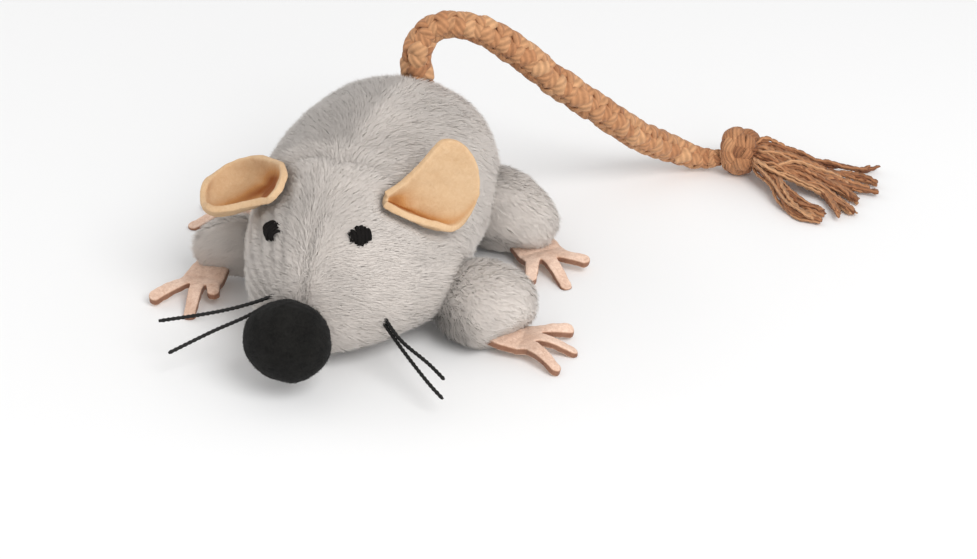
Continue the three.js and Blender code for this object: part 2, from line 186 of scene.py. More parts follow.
def mesh_piece(name, points, faces):
    """A smooth-shaded mesh object from points and arrays of faces."""
    mesh = bpy.data.meshes.new(name)
    corners = np.concatenate([f.ravel() for f in faces]).astype(np.int32)
    sizes = np.concatenate([np.full(len(f), f.shape[1]) for f in faces])
    mesh.vertices.add(len(points))
    mesh.vertices.foreach_set("co", np.ascontiguousarray(points, np.float32).ravel())
    mesh.loops.add(len(corners))
    mesh.loops.foreach_set("vertex_index", corners)
    mesh.polygons.add(len(sizes))
    mesh.polygons.foreach_set("loop_start", np.concatenate([[0], np.cumsum(sizes)[:-1]]).astype(np.int32))
    mesh.polygons.foreach_set("use_smooth", np.ones(len(sizes), bool))
    mesh.update(calc_edges=True)
    piece = bpy.data.objects.new(name, mesh)
    bpy.context.collection.objects.link(piece)
    return piece


def stack_skins(skins):
    """Joins several closed skins into one list of points and faces."""
    points, quads, triangles, total = [], [], [], 0
    for skin_points, (skin_quads, skin_triangles) in skins:
        points.append(skin_points)
        quads.append(skin_quads + total)
        triangles.append(skin_triangles + total)
        total += len(skin_points)
    return np.vstack(points), [np.vstack(quads), np.vstack(triangles)]


def note(piece, name, *channels):
    """Writes up to three values on each point of a piece, as a colour for its material to read."""
    values = np.zeros((len(piece.data.vertices), 4), np.float32)
    for k, channel in enumerate(channels):
        values[:, k] = channel
    values[:, 3] = 1
    attribute = piece.data.attributes.new(name, "FLOAT_COLOR", "POINT")
    attribute.data.foreach_set("color", values.ravel())


print("skins and notes are ready")

# %% [markdown]
# ## Whiskers
#
# Each whisker is a stiff waxed thread of two plies, pulled through the cheek and cut off. The section is a
# circle pinched a little on both sides, which turns as it goes: that is what a two-ply thread looks like. A
# small random kink keeps each one from looking drawn with a ruler.

# %% Twist the four whiskers
whisker_diameter = 1.1 * mm
whisker_twist = 2.6 * mm
whisker_routes = {
    "left_upper_whisker": [
        (12, -29, 18.6), (15.3, -33, 17.3), (18.4, -36.4, 15.8), (25.4, -42.4, 13.2), (34.8, -47, 10.6),
        (39.7, -50.2, 9),
    ],
    "left_lower_whisker": [
        (12, -29.6, 17.3), (15.1, -33.4, 16.2), (18.1, -36.9, 14.8), (25, -43, 11.9), (36.4, -51.6, 7.6),
        (40.4, -53.8, 5.6),
    ],
    "right_upper_whisker": [
        (-3, -37, 22.4), (-6, -41.5, 21.4), (-9.2, -44.7, 20.2), (-16, -47.6, 17.8), (-23.6, -49.6, 15.6),
        (-36, -53, 13),
    ],
    "right_lower_whisker": [
        (-3.4, -38, 20.2), (-6.4, -42.2, 19.4), (-9.4, -45.6, 18.2), (-15, -48.6, 15.4), (-21.4, -51.6, 12.2),
        (-30.8, -59.2, 8),
    ],
}
whisker_steps = 90
whisker_kink = 0.12


def twisted_thread(path, diameter, twist, sides=10, pinch=0.16, ends=0.7):
    """A two-ply thread along a path, a little narrower at its ends."""
    along = np.linspace(0, length_of(path), len(path))
    turn = np.linspace(0, 2 * np.pi, sides, endpoint=False)
    plies = 1 - pinch + pinch * np.cos(2 * (turn - 2 * np.pi * along[:, None] / twist))
    taper = np.ones(len(path))
    taper[[0, -1]] = ends
    reach = diameter / 2 * plies * taper[:, None]
    return skin_over(path[:, None] + reach[..., None] * ways_out(*carried(path), turn))


whiskers = {}
for seed, (name, route) in enumerate(whisker_routes.items()):
    kinks = np.random.default_rng(seed).normal(0, whisker_kink, (len(route), 3))
    kinks[:3] = 0
    path = smooth_route(np.array(route) + kinks, whisker_steps) * mm
    thread = twisted_thread(path, whisker_diameter, whisker_twist)
    whisker = mesh_piece(name.replace("whisker", "thread"), *thread)
    whiskers[name] = (whisker, path)
    print(name, "is", round(length_of(path) / mm, 1), "mm long")

# %% [markdown]
# ## The braided tail
#
# The tail is a round braid of eight flat strands, each of a few yarns side by side. Four strands wind one way
# and four the other, and each rises and dives in turn, as carriers on a braiding machine make them. A plain
# core takes the darkest yarn colour, painted shade that keeps the gaps between them dark. The cord is
# flattened a little where it bends over, and it thins from there to the knot, so the turns per length follow
# its radius.

# %% Braid strands round a core
strands_each_way = 4
section_sides = 18
core_share = 0.6
steps_per_wander = 14
wander_size, swell_size = 0.13, 0.12


def wandering(steps, size, rng):
    """A slow random course of values along a strand."""
    turns = max(int(steps / steps_per_wander), 4)
    values = rng.normal(0, size, turns)
    return np.interp(np.linspace(0, 1, steps), np.linspace(0, 1, turns), values)


def braid(path, radii, strands=strands_each_way, thickness_share=0.4, pitch=5, tones=(0.22, 0.5), seed=0):
    """Flat strands braided round a core, with what is noted on their points for the material.

    The notes are the way along the strand in lengths of 100 mm, the way across it and the strand's tone.
    """
    rng = np.random.default_rng(seed)
    side, up = carried(path)
    step = np.concatenate([[0], np.linalg.norm(np.diff(path, axis=0), axis=1)])
    phase = np.cumsum(2 * np.pi * step / (pitch * radii))
    thick = thickness_share * radii
    slant = 2 * np.pi / pitch
    spacing = pitch * radii / strands * slant / math.hypot(1, slant)
    turn = np.linspace(0, 2 * np.pi, section_sides, endpoint=False)
    across = np.cos(turn)
    ridges = 0.9 + 0.1 * np.cos(3 * np.pi * across)
    rise = np.sign(np.sin(turn)) * np.abs(np.sin(turn)) ** 0.8 * ridges
    skins = [skin_over(path[:, None] + (core_share * radii)[:, None, None] * ways_out(side, up, turn))]
    # The core's notes are all zero, which gives it the darkest yarn colour: painted shade for the gaps
    # between the strands.
    notes = [np.zeros((len(skins[0][0]), 3))]
    for way in (1, -1):
        for k in range(strands):
            wander = wandering(len(path), wander_size, rng)
            swell = wandering(len(path), swell_size, rng)
            angle = way * phase + 2 * np.pi * (k + 0.25 * way) / strands + wander
            weave = way * np.cos(strands * phase)
            reach = radii - thick * 0.95 + thick * (0.5 * weave + 0.8 * swell)
            radial = np.cos(angle)[:, None] * side + np.sin(angle)[:, None] * up
            centre = path + reach[:, None] * radial
            direction = unit(np.gradient(centre, axis=0))
            flat = unit(np.cross(direction, radial))
            half = spacing * 0.56 * (0.95 + 0.1 * (weave > 0) + swell)
            wide = (across * half[:, None])[..., None] * flat[:, None]
            high = (rise * (thick * 0.58)[:, None])[..., None] * np.cross(flat, direction)[:, None]
            skins.append(skin_over(centre[:, None] + wide + high))
            values = np.empty((len(path), section_sides, 3))
            values[..., 0] = run_along(centre)[:, None] / mm / 100
            values[..., 1] = 0.5 + 0.5 * across
            values[..., 2] = rng.uniform(*tones) + 0.5 * swell[:, None]
            notes.append(with_end_middles(values))
    points, faces = stack_skins(skins)
    return points, faces, np.vstack(notes)


print("each braid has", 2 * strands_each_way, "strands or more")

# %% Lead the tail out of the rump and over
tail_route = [
    (1.2, 40, 33), (1.1, 39.8, 38), (0.9, 39.4, 44), (0.8, 38.7, 52), (2.9, 40.8, 57.6), (8.2, 43.2, 60),
    (14, 44.8, 59.4), (19, 47, 57), (26.6, 51.6, 50), (33.8, 57, 41.5), (43.6, 65.4, 30.6),
    (53.4, 78.8, 16.6), (60.6, 89.6, 8.2), (66.4, 93.8, 4.6), (72.2, 95.6, 4.4), (79.2, 97.3, 6.9),
]
tail_steps = 460
knot_radius = 6.8 * mm
# How thick the cord is in millimetres, at shares of its way from the root to the knot.
cord_widths = [
    (0, 8.5), (0.13, 8.5), (0.19, 7.4), (0.26, 7.4), (0.33, 8.4), (0.8, 8.6), (0.87, 7.6), (0.92, 6.2),
    (0.96, 4.6), (1, 4.6),
]
tail_path = smooth_route(tail_route, tail_steps) * mm
knot_middle = tail_path[-1]
tail_end = int(np.argmax(np.linalg.norm(tail_path - knot_middle, axis=1) < 0.6 * knot_radius))
cord_path = tail_path[:tail_end]
at_shares, widths = np.array(cord_widths).T
cord_radii = np.interp(np.linspace(0, 1, len(tail_path)), at_shares, widths * mm)[:tail_end] / 2
points, faces, yarn_notes = braid(cord_path, cord_radii)
tail = mesh_piece("tail_braid", points, faces)
note(tail, "yarn", *yarn_notes.T)
print("the tail is", round(length_of(cord_path) / mm, 1), "mm long and has", len(tail.data.polygons), "faces")

# %% [markdown]
# ## The knot
#
# The braid is tied once, near its end. The knot is the same braid led round itself: over the top, down the
# front, under, and out again through the middle. Pulled tight, its yarns spread and lie slanted, so here it
# has more and thinner strands than the tail. Its route is written in the knot's own directions, with the
# first along the frayed end, the second away from the front and the third up.

# %% Tie the knot
tassel_heading = math.radians(-17)
knot_along = np.array([math.cos(tassel_heading), math.sin(tassel_heading), 0])
knot_back = np.array([-math.sin(tassel_heading), math.cos(tassel_heading), 0])
knot_up = 1.12 * np.array([0, 0, 1])
knot_route = [
    (-0.7, 0.7, 0.7), (-2.1, 2, 1.8), (-2.3, -0.5, 3.3), (-1.4, -3.2, 1.1), (-0.9, -2.5, -2.4),
    (-0.2, 0.5, -3.3), (0.5, 3.2, -0.9), (0.9, 1.6, 2.7), (1.5, -1.6, 2.6), (1.9, -3, -0.4),
    (1.6, -1.1, -2.7), (1.6, 0.2, -1), (3.6, 0.2, -0.6),
]
knot_steps, knot_strands = 240, 7
knot_floor = 0.2 * mm


def in_knot(spots):
    """Turns places in the knot's own directions, in millimetres, into places in the frame."""
    return knot_middle + np.array(spots, float) * mm @ np.stack([knot_along, knot_back, knot_up])


knot_path = smooth_route(in_knot(knot_route), knot_steps)
knot_radii = np.interp(np.linspace(0, 1, len(knot_path)), [0, 0.15, 0.8, 1], [2.8, 3.5, 3.5, 2.8]) * mm
points, faces, yarn_notes = braid(
    knot_path, knot_radii, knot_strands, thickness_share=0.24, pitch=9, tones=(0.12, 0.42), seed=1
)
points[:, 2] = np.maximum(points[:, 2], knot_floor)
knot = mesh_piece("tail_knot_wraps", points, faces)
note(knot, "yarn", *yarn_notes.T)
print("the knot has", len(knot.data.polygons), "faces")

# %% [markdown]
# ## The frayed end
#
# Past the knot the braid is unpicked, and its yarns fan out on the floor in a few locks. Each lock has a
# route, and its yarns spread about it. A yarn is twisted like a whisker, but softer, flatter and wavier.

# %% Fan out the yarns
# Each lock: how many yarns it has, and its route in millimetres.
locks = [
    (7, [(85.5, 97.2, 9), (89.3, 98.6, 8.6), (92.7, 100.7, 7.4), (96.4, 102.3, 5.8), (100.1, 102.7, 4.4),
         (103.9, 104.5, 3.2), (108.6, 106.1, 2.2), (113.5, 106.8, 2), (117.6, 109.9, 1.8)]),
    (14, [(85.7, 96.4, 8.8), (89.6, 96.9, 8.2), (93.2, 97.7, 7), (97.4, 98.5, 5.4), (101.8, 98.8, 4),
          (105.9, 100.7, 2.8)]),
    (13, [(86, 95.6, 7.6), (89.4, 95.9, 7), (93.8, 96, 6), (99.1, 96.3, 4.8), (104.1, 97.9, 3.2),
          (109, 101.6, 2.2), (114, 101.5, 1.8), (118.5, 99.5, 1.6)]),
    (9, [(86.3, 94.3, 7), (90.4, 93.4, 6.2), (95.7, 93.2, 4.8), (102, 92.9, 3.4), (108.3, 94.9, 2.2),
         (113.6, 95, 1.7), (119.1, 94.7, 1.5)]),
    (18, [(86.2, 94.2, 9), (90.3, 94.1, 7.6), (95.2, 93.5, 6.2), (100.8, 92.7, 4.6), (106.2, 92.5, 3),
          (110.9, 91, 2), (115.8, 87, 1.6)]),
    (18, [(86.5, 92, 8), (90.1, 90.8, 7.6), (94.4, 91, 6), (99.3, 90.3, 4.6), (104.6, 89, 3.2),
          (110.3, 85.7, 2), (116.3, 80.5, 1.5)]),
    (15, [(86.1, 93.5, 6), (89.2, 91.4, 6), (92.8, 90.1, 5.2), (96.9, 90.7, 4), (101.5, 90.1, 2.8),
          (105.8, 87.6, 2.2), (109.5, 82.8, 1.7), (112.9, 77.5, 1.5)]),
    (20, [(85.6, 92.4, 5), (88.4, 89.2, 5), (91.5, 86.3, 4), (94.2, 82.1, 3), (97.6, 77.9, 2.2),
          (101.1, 74.9, 1.8), (104.8, 74, 1.6), (108, 73.4, 1.5)]),
    (12, [(86.2, 92.3, 6.4), (89, 90.2, 5.6), (91.9, 87.8, 4.6), (94.7, 84.9, 3.6), (97.8, 81.8, 2.8),
          (101.3, 80.4, 2.2), (105, 79.3, 1.8), (108.7, 77.1, 1.6)]),
    (10, [(85.2, 97, 10), (88.4, 98, 9.6), (91.4, 99.3, 8), (94.9, 101.6, 6.4)]),
    (12, [(86.8, 92.1, 4.4), (91, 91, 6), (95.7, 92.6, 6.4), (101.1, 95.4, 4.6), (108, 96.3, 2.4),
          (112.2, 93.1, 1.8)]),
]
yarn_diameter, yarn_sides, yarn_steps = 1.35 * mm, 8, 44
yarn_twist = 5 * mm
lock_spread = 1.6
unpicked_at = np.array([81.6, 96.4, 6.6])
floor_clearance = 0.25 * mm


def fan_yarns():
    """The skins of all yarns, and the same notes on their points as a braid has."""
    rng = np.random.default_rng(7)
    skins, notes = [], []
    for count, route in locks:
        route = np.array(route)
        share = np.linspace(0, 1, len(route))
        for _ in range(count):
            swing = rng.uniform(0, 2 * np.pi) + rng.normal(0, 1.6) * share
            depth = abs(rng.normal(0, 0.7))
            reach = depth * lock_spread * (1 - 0.3 * share)
            spots = route + rng.normal(0, 0.3, route.shape)
            spots[:, 1] += reach * np.cos(swing)
            spots[:, 2] += reach * np.sin(swing) * (1 - 0.5 * share)
            root = unpicked_at + rng.normal(0, 1.2, 3)
            spots[-1, :2] += (spots[-1, :2] - spots[-2, :2]) * rng.uniform(-0.9, 0.1)
            path = smooth_route(np.vstack([root, spots]), yarn_steps) * mm
            size = yarn_diameter * rng.uniform(0.7, 1.4)
            path[:, 2] = np.maximum(path[:, 2], floor_clearance + size / 2)
            twist = yarn_twist * rng.uniform(0.8, 1.3)
            skins.append(twisted_thread(path, size, twist, yarn_sides, pinch=0.24, ends=0.75))
            values = np.empty((len(path), yarn_sides, 3))
            values[..., 0] = np.linspace(0, length_of(path), len(path))[:, None] / mm / 100
            values[..., 1] = np.linspace(0, 1, yarn_sides, endpoint=False)
            # Painted shade: yarns near the middle of their lock, where they lie in each other's shade, take
            # darker tones.
            values[..., 2] = np.clip(rng.uniform(0, 0.2) + 0.22 * depth, 0, 0.7)
            notes.append(with_end_middles(values))
    points, faces = stack_skins(skins)
    return points, faces, np.vstack(notes)


points, faces, yarn_notes = fan_yarns()
tassel = mesh_piece("tail_tassel_yarns", points, faces)
note(tassel, "yarn", *yarn_notes.T)
print("yarns in the frayed end:", sum(count for count, _ in locks))

# %% [markdown]
# ## The stuffed trunk
#
# Head and body are one swelling form, cut from plush and sewn together at the neck. The form is a table of
# rings along the toy: how far along, how wide, how high its top and how low its underside. The plush backing
# is this form, drawn in by part of the pile's depth, so that the tips of the pile end a little outside the
# frame's own surface. The seams and the hand stitches pull the backing in.

# %% The trunk's form
head_low = np.array(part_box("head_cover")[0])
body_low, body_high = (np.array(corner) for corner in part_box("body_cover"))
# Each row: shares of the trunk's length, of half its width, and of its height for top and underside.
trunk_shares = np.array([
    (0, 0, 0.3, 0.3), (0.007, 0.16, 0.4, 0.2), (0.03, 0.34, 0.52, 0.13), (0.08, 0.56, 0.67, 0.075),
    (0.147, 0.73, 0.79, 0.045), (0.235, 0.87, 0.885, 0.025), (0.333, 0.95, 0.955, 0.005),
    (0.47, 0.99, 0.99, -0.01), (0.61, 1, 1, -0.01), (0.745, 0.97, 0.965, -0.01), (0.863, 0.85, 0.86, 0),
    (0.94, 0.64, 0.71, 0.06),
    (0.985, 0.37, 0.56, 0.16), (0.997, 0.19, 0.48, 0.26), (1, 0, 0.4, 0.4),
])
waist_share = 0.38
squareness = 0.93
# The stuffing is uneven: the right cheek is flat, the left cheek is full low down, and the left flank is a
# little flat. Each is a share of half the trunk's width.
flat_cheek, full_cheek, flat_flank = 0.07, 0.2, 0.045
cheek_share = 0.25
trunk_length = body_high[1] - head_low[1]
origin_share = -head_low[1] / trunk_length


def between_rows(rows, count):
    """Smooth values through the rows of a table, evenly spaced by row."""
    rows = np.vstack([2 * rows[0] - rows[1], rows, 2 * rows[-1] - rows[-2]])
    place = np.linspace(0, len(rows) - 3, count)
    i = np.minimum(place.astype(int), len(rows) - 4)
    t = (place - i)[:, None]
    a, b, c, d = rows[i], rows[i + 1], rows[i + 2], rows[i + 3]
    return 0.5 * (2 * b + (c - a) * t + (2 * a - 5 * b + 4 * c - d) * t**2 + (3 * b - a - 3 * c + d) * t**3)


fine_rows = between_rows(trunk_shares, 400)
trunk_width = (body_high[0] - body_low[0]) / fine_rows[:, 1].max()
trunk_height = body_high[2] / fine_rows[:, 2].max()


def trunk_place(x, y, z):
    """A place given as shares of half the trunk's width, of its length from the nose, and of its height."""
    return np.array([x * trunk_width / 2, (y - origin_share) * trunk_length, z * trunk_height])


def eased(value):
    """A step from 0 to 1 with soft ends."""
    value = np.clip(value, 0, 1)
    return value * value * (3 - 2 * value)


def groove(distance, width):
    """A soft bump: 1 where the distance is nothing, and fading over the width."""
    return np.exp(-((distance / width) ** 2))


def trunk_rings(grow, count, sides):
    """Rings of points over the trunk's form, grown outwards by a length."""
    rows = between_rows(trunk_shares, count)
    turn = np.linspace(0, 2 * np.pi, sides, endpoint=False)
    across = np.sign(np.cos(turn)) * np.abs(np.cos(turn)) ** squareness
    rise = np.sign(np.sin(turn)) * np.abs(np.sin(turn)) ** squareness
    along, width, top, under = (rows[:, k : k + 1] for k in range(4))
    waist = under + waist_share * (top - under)
    height = waist + rise * np.where(rise > 0, top - waist, waist - under)
    right_side = 1 - flat_cheek * (1 - eased((along - cheek_share) / 0.2))
    low = eased((0.6 - rise) / 0.55)
    left_side = 1 + full_cheek * low * groove(along - cheek_share, 0.15)
    left_side = left_side - flat_flank * eased((along - 0.4) / 0.2)
    x = across * np.maximum(width, 0) * trunk_width / 2 * np.where(across < 0, right_side, left_side)
    y = (along - origin_share) * trunk_length + 0 * across
    rings = np.stack([x, y, height * trunk_height], -1)
    middle = trunk_place(0, 0.5, 0.5)
    size = np.array([trunk_width, trunk_length, trunk_height])
    return (middle + (rings - middle) * (size + 2 * grow) / size)[::-1]


print("trunk", np.round(np.array([trunk_width, trunk_length, trunk_height]) / mm, 1), "mm")

# %% Where the seams and the hand stitches pull
neck_point = trunk_place(0, 0.343, 0.5)
neck_lean = math.radians(10)
neck_way = np.array([0, math.cos(neck_lean), math.sin(neck_lean)])
face_seam_start = -30 * mm
# Each hand stitch that pinches the cloth: its place in millimetres, how far it reaches and how deep it pulls.
pinches = [
    (1, -17.5, 48, 3, 1.5), (11, -22.5, 46.5, 2.6, 1.1), (1, -38.6, 42, 1.8, 0.7), (3.7, -48.6, 37, 1.8, 0.6),
    (-16.5, -23.5, 40.5, 4, 1.6), (14.8, -23.5, 42, 2.5, 1),
]


def sewn(points):
    """How far the seams and the hand stitches pull the backing in, and how close a seam is, at each point."""
    from_neck = (points - neck_point) @ neck_way
    top = np.clip(points[:, 2] / trunk_height * 1.6 - 0.5, 0, 1)
    neck = groove(from_neck, 1.3 * mm) * (0.35 + 0.65 * top)
    centre = groove(points[:, 0], 1 * mm) * top
    on_face = np.clip((face_seam_start - points[:, 1]) / (7 * mm), 0, 1)
    face = groove(points[:, 0] - 0.6 * mm, 0.9 * mm) * on_face
    pull = 0.8 * neck + 0.25 * centre + 0.7 * face
    for x, y, z, reach, depth in pinches:
        pull += depth * groove(np.linalg.norm(points - np.array([x, y, z]) * mm, axis=1), reach * mm)
    return pull * mm, np.maximum(np.maximum(neck, centre), 3 * face)


print("hand stitches:", len(pinches))


# %% Cut the plush backing
pile_inset = 1.5 * mm
backing_floor = 0.9 * mm


def outward(piece):
    normals = np.empty(len(piece.data.vertices) * 3, np.float32)
    piece.data.vertices.foreach_get("normal", normals)
    return normals.reshape(-1, 3).astype(float)


def places(piece):
    found = np.empty(len(piece.data.vertices) * 3, np.float32)
    piece.data.vertices.foreach_get("co", found)
    return found.reshape(-1, 3).astype(float)


def put(piece, points):
    piece.data.vertices.foreach_set("co", np.ascontiguousarray(points, np.float32).ravel())
    piece.data.update()


# Without a seed this noise would be another one each time that the file is run.
noise.seed_set(1)


def drift(points, wave, shift=0.0):
    """A smooth random vector at each point, which changes over the given length."""
    return np.array([noise.noise_vector(p) for p in points / wave + shift])


backing = mesh_piece("plush_backing", *skin_over(trunk_rings(-pile_inset, 150, 160)))
points = places(backing)
normals = outward(backing)
points -= normals * sewn(points)[0][:, None]
points += normals * drift(points, 14 * mm)[:, :1] * 0.5 * mm
points[:, 2] = np.maximum(points[:, 2], backing_floor)
put(backing, points)
print("backing", len(backing.data.polygons), "faces")

# %% Part it at the neck
seam_gap = 0.15 * mm


def select_only(piece):
    bpy.ops.object.select_all(action="DESELECT")
    bpy.context.view_layer.objects.active = piece
    piece.select_set(True)


def copy_of(piece, name):
    made = bpy.data.objects.new(name, piece.data.copy())
    made.data.name = name
    bpy.context.collection.objects.link(made)
    return made


def half_of(piece, name, way):
    """A closed half of the backing, on one side of the neck seam: 1 for the rump's, -1 for the nose's."""
    half = copy_of(piece, name)
    select_only(half)
    bpy.ops.object.mode_set(mode="EDIT")
    bpy.ops.mesh.select_all(action="SELECT")
    bpy.ops.mesh.bisect(
        plane_co=neck_point + neck_way * seam_gap * way, plane_no=neck_way * way,
        use_fill=True, clear_inner=True, threshold=1e-6,
    )
    bpy.ops.object.mode_set(mode="OBJECT")
    return half


body = half_of(backing, "body_plush", 1)
head = half_of(backing, "head_plush", -1)
print("body backing", len(body.data.polygons), "faces, head backing", len(head.data.polygons), "faces")

# %% [markdown]
# ## The legs
#
# Four short stubs, each an egg of plush that is fuller or thinner towards its root, as it was stuffed, and
# that sags a little. At the wrist the plush ends over the paw, so there the egg is pressed flat. They are
# sewn to the trunk, so each egg is cut by the trunk's own backing.

# %% The forms of the legs
wrist_share, bluntness, sag = 0.92, 0.8, 1.15
# Each leg in millimetres: radius, half length, its middle, the way it points and its root's share of the
# radius.
leg_forms = {
    "front_left": (11.5, 13, (38.3, -15.4, 11), (1, 0, -0.02), 0.95),
    "front_right": (9.8, 14.8, (-30.2, -9.9, 11.2), (-1, -0.06, -0.1), 0.85),
    "rear_left": (10.4, 14, (29.4, 31, 12.2), (0.93, 0.02, -0.33), 1.2),
    "rear_right": (9.4, 14.6, (-28.4, 29.5, 9.8), (-0.95, -0.05, -0.25), 0.9),
}
# The plush's edge over each paw: its place on the floor in millimetres, the way the paw comes out and the
# edge's lean per height above the paw.
leg_edges = {
    "front_left": ((46.2, -16.8), (0.82, -0.57), 0.6),
    "front_right": ((-41, -10.4), (0.3, -0.95), 0.25),
    "rear_left": ((38, 27), (0.1, -1), 0.9),
    "rear_right": ((-40.5, 25.5), (-0.9, -0.4), 0.5),
}
paw_height = 4 * mm


def leg_frame(name):
    """A leg's radius, half length and middle, and the way it points."""
    radius, half_length, middle, way = leg_forms[name][:4]
    return radius * mm, half_length * mm, np.array(middle) * mm, unit(np.array(way, float))


def egg_rings(name, inset, count, sides):
    radius, half_length, middle, way = leg_frame(name)
    radius, half_length = radius - inset, half_length - inset
    side = unit(np.cross(way, [0, 0, 1]))
    up = np.cross(side, way)
    lean = np.linspace(np.pi, 0, count)[1:-1]
    turn = np.linspace(0, 2 * np.pi, sides, endpoint=False)
    along = np.cos(lean)
    root_share = leg_forms[name][4]
    narrow = 1 - (1 - wrist_share) * np.clip(along, 0, 1)
    narrow = narrow * (1 - (1 - root_share) * eased((0.45 - along) / 1.1))
    girth = radius * np.sin(lean) ** bluntness * narrow
    height = np.where(np.cos(turn) < 0, sag, 1) * np.cos(turn)
    ring = height[:, None] * up + np.sin(turn)[:, None] * side
    return middle + along[:, None, None] * half_length * way + girth[:, None, None] * ring[None]


def past_edge(name, points):
    """How far points lie beyond the plush's edge over the paw, and the way in which the paw comes out."""
    edge, way, lean = leg_edges[name]
    edge, way = np.array([*edge, 0.0]), unit(np.array([*way, 0.0]))
    above = np.clip(points[:, 2] - paw_height, 0, 9 * mm)
    return (points - edge * mm) @ way - above * lean, way


print("legs:", len(leg_forms))


# %% Stuff the four legs
leg_floor = 1.1 * mm
edge_flatness = 0.88


def apply_modifier(piece, kind, **settings):
    select_only(piece)
    modifier = piece.modifiers.new(kind.lower(), kind)
    for key, value in settings.items():
        setattr(modifier, key, value)
    bpy.ops.object.modifier_apply(modifier=modifier.name)


legs = {}
for name in leg_forms:
    leg = mesh_piece(name + "_plush", *skin_over(egg_rings(name, pile_inset, 44, 60)))
    points = places(leg)
    beyond, way = past_edge(name, points)
    beyond += pile_inset
    points -= way * (np.clip(beyond, 0, None) * edge_flatness)[:, None]
    points += outward(leg) * drift(points, 9 * mm, 5.0)[:, :1] * 0.7 * mm
    points[:, 2] = np.maximum(points[:, 2], leg_floor)
    put(leg, points)
    apply_modifier(leg, "BOOLEAN", operation="DIFFERENCE", solver="EXACT", object=backing)
    legs[name] = leg
    print(name, "leg backing has", len(leg.data.polygons), "faces")

# %% [markdown]
# ## Felt ears
#
# Each ear is a round of thick felt, folded at the corner where it is sewn to the head, and its front edge
# curls forward into a lip. The fold is hand-made, so its form is a few rows of places, read off the real one.
# A flat grid is laid through them, Solidify gives it the felt's thickness, and a voxel Remesh and Smooth
# round the cut edges. Each point then notes how deep in the fold and how near the cut edge it lies, for the
# felt's colour: shade is painted into the fold and into the pocket at the sewn corner.

# %% The forms of the ears
ear_thickness = 1.9 * mm
# Each ear: its sewn corner as a place on the trunk, then the ways along it, to its back edge and out of its
# face.
ear_places = {
    "left_ear": ((0.49, 0.236, 0.838), (0.79, 0.6, 0.08), (-0.08, 0.08, 1), (1, -1, 0)),
    "right_ear": ((-0.49, 0.24, 0.825), (-0.91, 0.14, -0.38), (-0.06, 0.97, 0.2), (0, 0, 1)),
}
# Each row of places runs from the curled front edge to the back edge, and the rows run from the sewn corner
# to the far rim. A place says how far along the ear it is, how far back and how far out of its face, in
# millimetres.
ear_rows = {
    "left_ear": [
        [(0.2, -0.5, 1.4), (0.5, -0.9, 0.2), (0.6, -0.7, 0), (0.8, -0.5, 0), (1, -0.2, 0.5)],
        [(2.1, -1.8, 2.6), (2.9, -3, 0), (3.1, -2.3, -0.4), (3.5, -0.7, -0.4), (3.9, 1.5, 0.6)],
        [(4.8, -3.9, 3.2), (6.2, -5.6, 0), (6.9, -4.4, -0.6), (7.5, -0.7, -0.7), (7.9, 3.8, 0.5)],
        [(8.3, -6.3, 3), (9.6, -8.3, 0.2), (10.6, -6.4, -0.6), (11.7, -0.6, -0.8), (12.9, 7.8, 0.4)],
        [(12.2, -8.6, 2.3), (13.3, -10.4, 0.4), (14.4, -7.8, -0.4), (15.9, -0.5, -0.6), (17.5, 11.2, 0.3)],
        [(17, -11.4, 1.6), (17.4, -11.2, 0.5), (18.8, -8.5, -0.2), (20.4, -1.1, -0.4), (21.8, 9.6, 0.2)],
        [(20.9, -10.3, 1), (21.4, -9.2, 0.3), (22.6, -6.6, 0), (23.6, -1.7, -0.1), (24.3, 6, 0.1)],
        [(23.7, -7.8, 0.5), (24.6, -5.8, 0.3), (25.3, -4.1, 0.1), (25.7, -1.6, 0), (25.6, 2.4, 0)],
    ],
    "right_ear": [
        [(-2.1, -8.6, 1.4), (-3.2, -7.6, 2), (-4.4, -5.4, 2.6), (-4, -1.7, 3.2), (-1.8, 2.3, 4)],
        [(0.3, -8, 1.4), (3.2, -3.5, -0.9), (4, 1.1, -1.2), (3.6, 3.5, 0), (2.8, 5.7, 3)],
        [(3.5, -7.9, 1.5), (6.8, -3.5, -2), (9.7, 2, -2.3), (10.8, 7.1, -0.9), (9.4, 8.4, 3)],
        [(7, -8.2, 1.5), (11, -4.6, -2), (14, 0.1, -2.7), (16.1, 6.2, -1.3), (14.8, 8.8, 3.2)],
        [(11, -8.9, 1.9), (14.5, -6.4, -1.2), (17.7, -2, -2), (19.7, 3, -0.8), (18.6, 7.2, 3.4)],
        [(14.2, -9.2, 2.6), (16.8, -7.8, 0.6), (19.4, -4.4, 0), (21, -1, 0.8), (20.6, 3.4, 3.6)],
        [(16.4, -8.4, 3.4), (17.9, -7.4, 2.8), (19.2, -5.6, 2.8), (20, -3.4, 3.2), (20, -1, 4)],
    ],
}
ear_steps_along, ear_steps_across = 48, 36
# About how long and wide an ear is, in millimetres along the felt.
ear_length, ear_width = 24, 20
# For each ear: where across it the fold's painted shade lies, how wide and how dark it is, and how dark
# the painted shade at its sewn end is.
ear_shades = {"left_ear": (0.31, 0.13, 0.95, 0.6), "right_ear": (0.42, 0.14, 1, 0.9)}


def ear_ways(along, backward, facing):
    """An ear's own directions: along it, to its back edge and out of its face."""
    x = unit(np.array(along, float))
    z = unit(np.array(backward) - x * np.dot(backward, x))
    y = np.cross(z, x)
    return np.stack([x, z, y if np.dot(y, facing) > 0 else -y])


def folded_felt(rows):
    """The felt's fine grid of places: smooth curves through the rows, along the ear and then across it."""
    rows = np.array(rows)
    wide = between_rows(rows.reshape(len(rows), -1), ear_steps_along + 1).reshape(-1, rows.shape[1], 3)
    return np.stack([between_rows(row, ear_steps_across + 1) for row in wide]) * mm


print("rows of places:", {name: len(rows) for name, rows in ear_rows.items()})


# %% How the felt is shaded
def nearest_spot(points, spots):
    """For each point, which of the spots is nearest."""
    tree = KDTree(len(spots))
    for i, spot in enumerate(spots):
        tree.insert(spot, i)
    tree.balance()
    return np.array([tree.find(p)[1] for p in points])


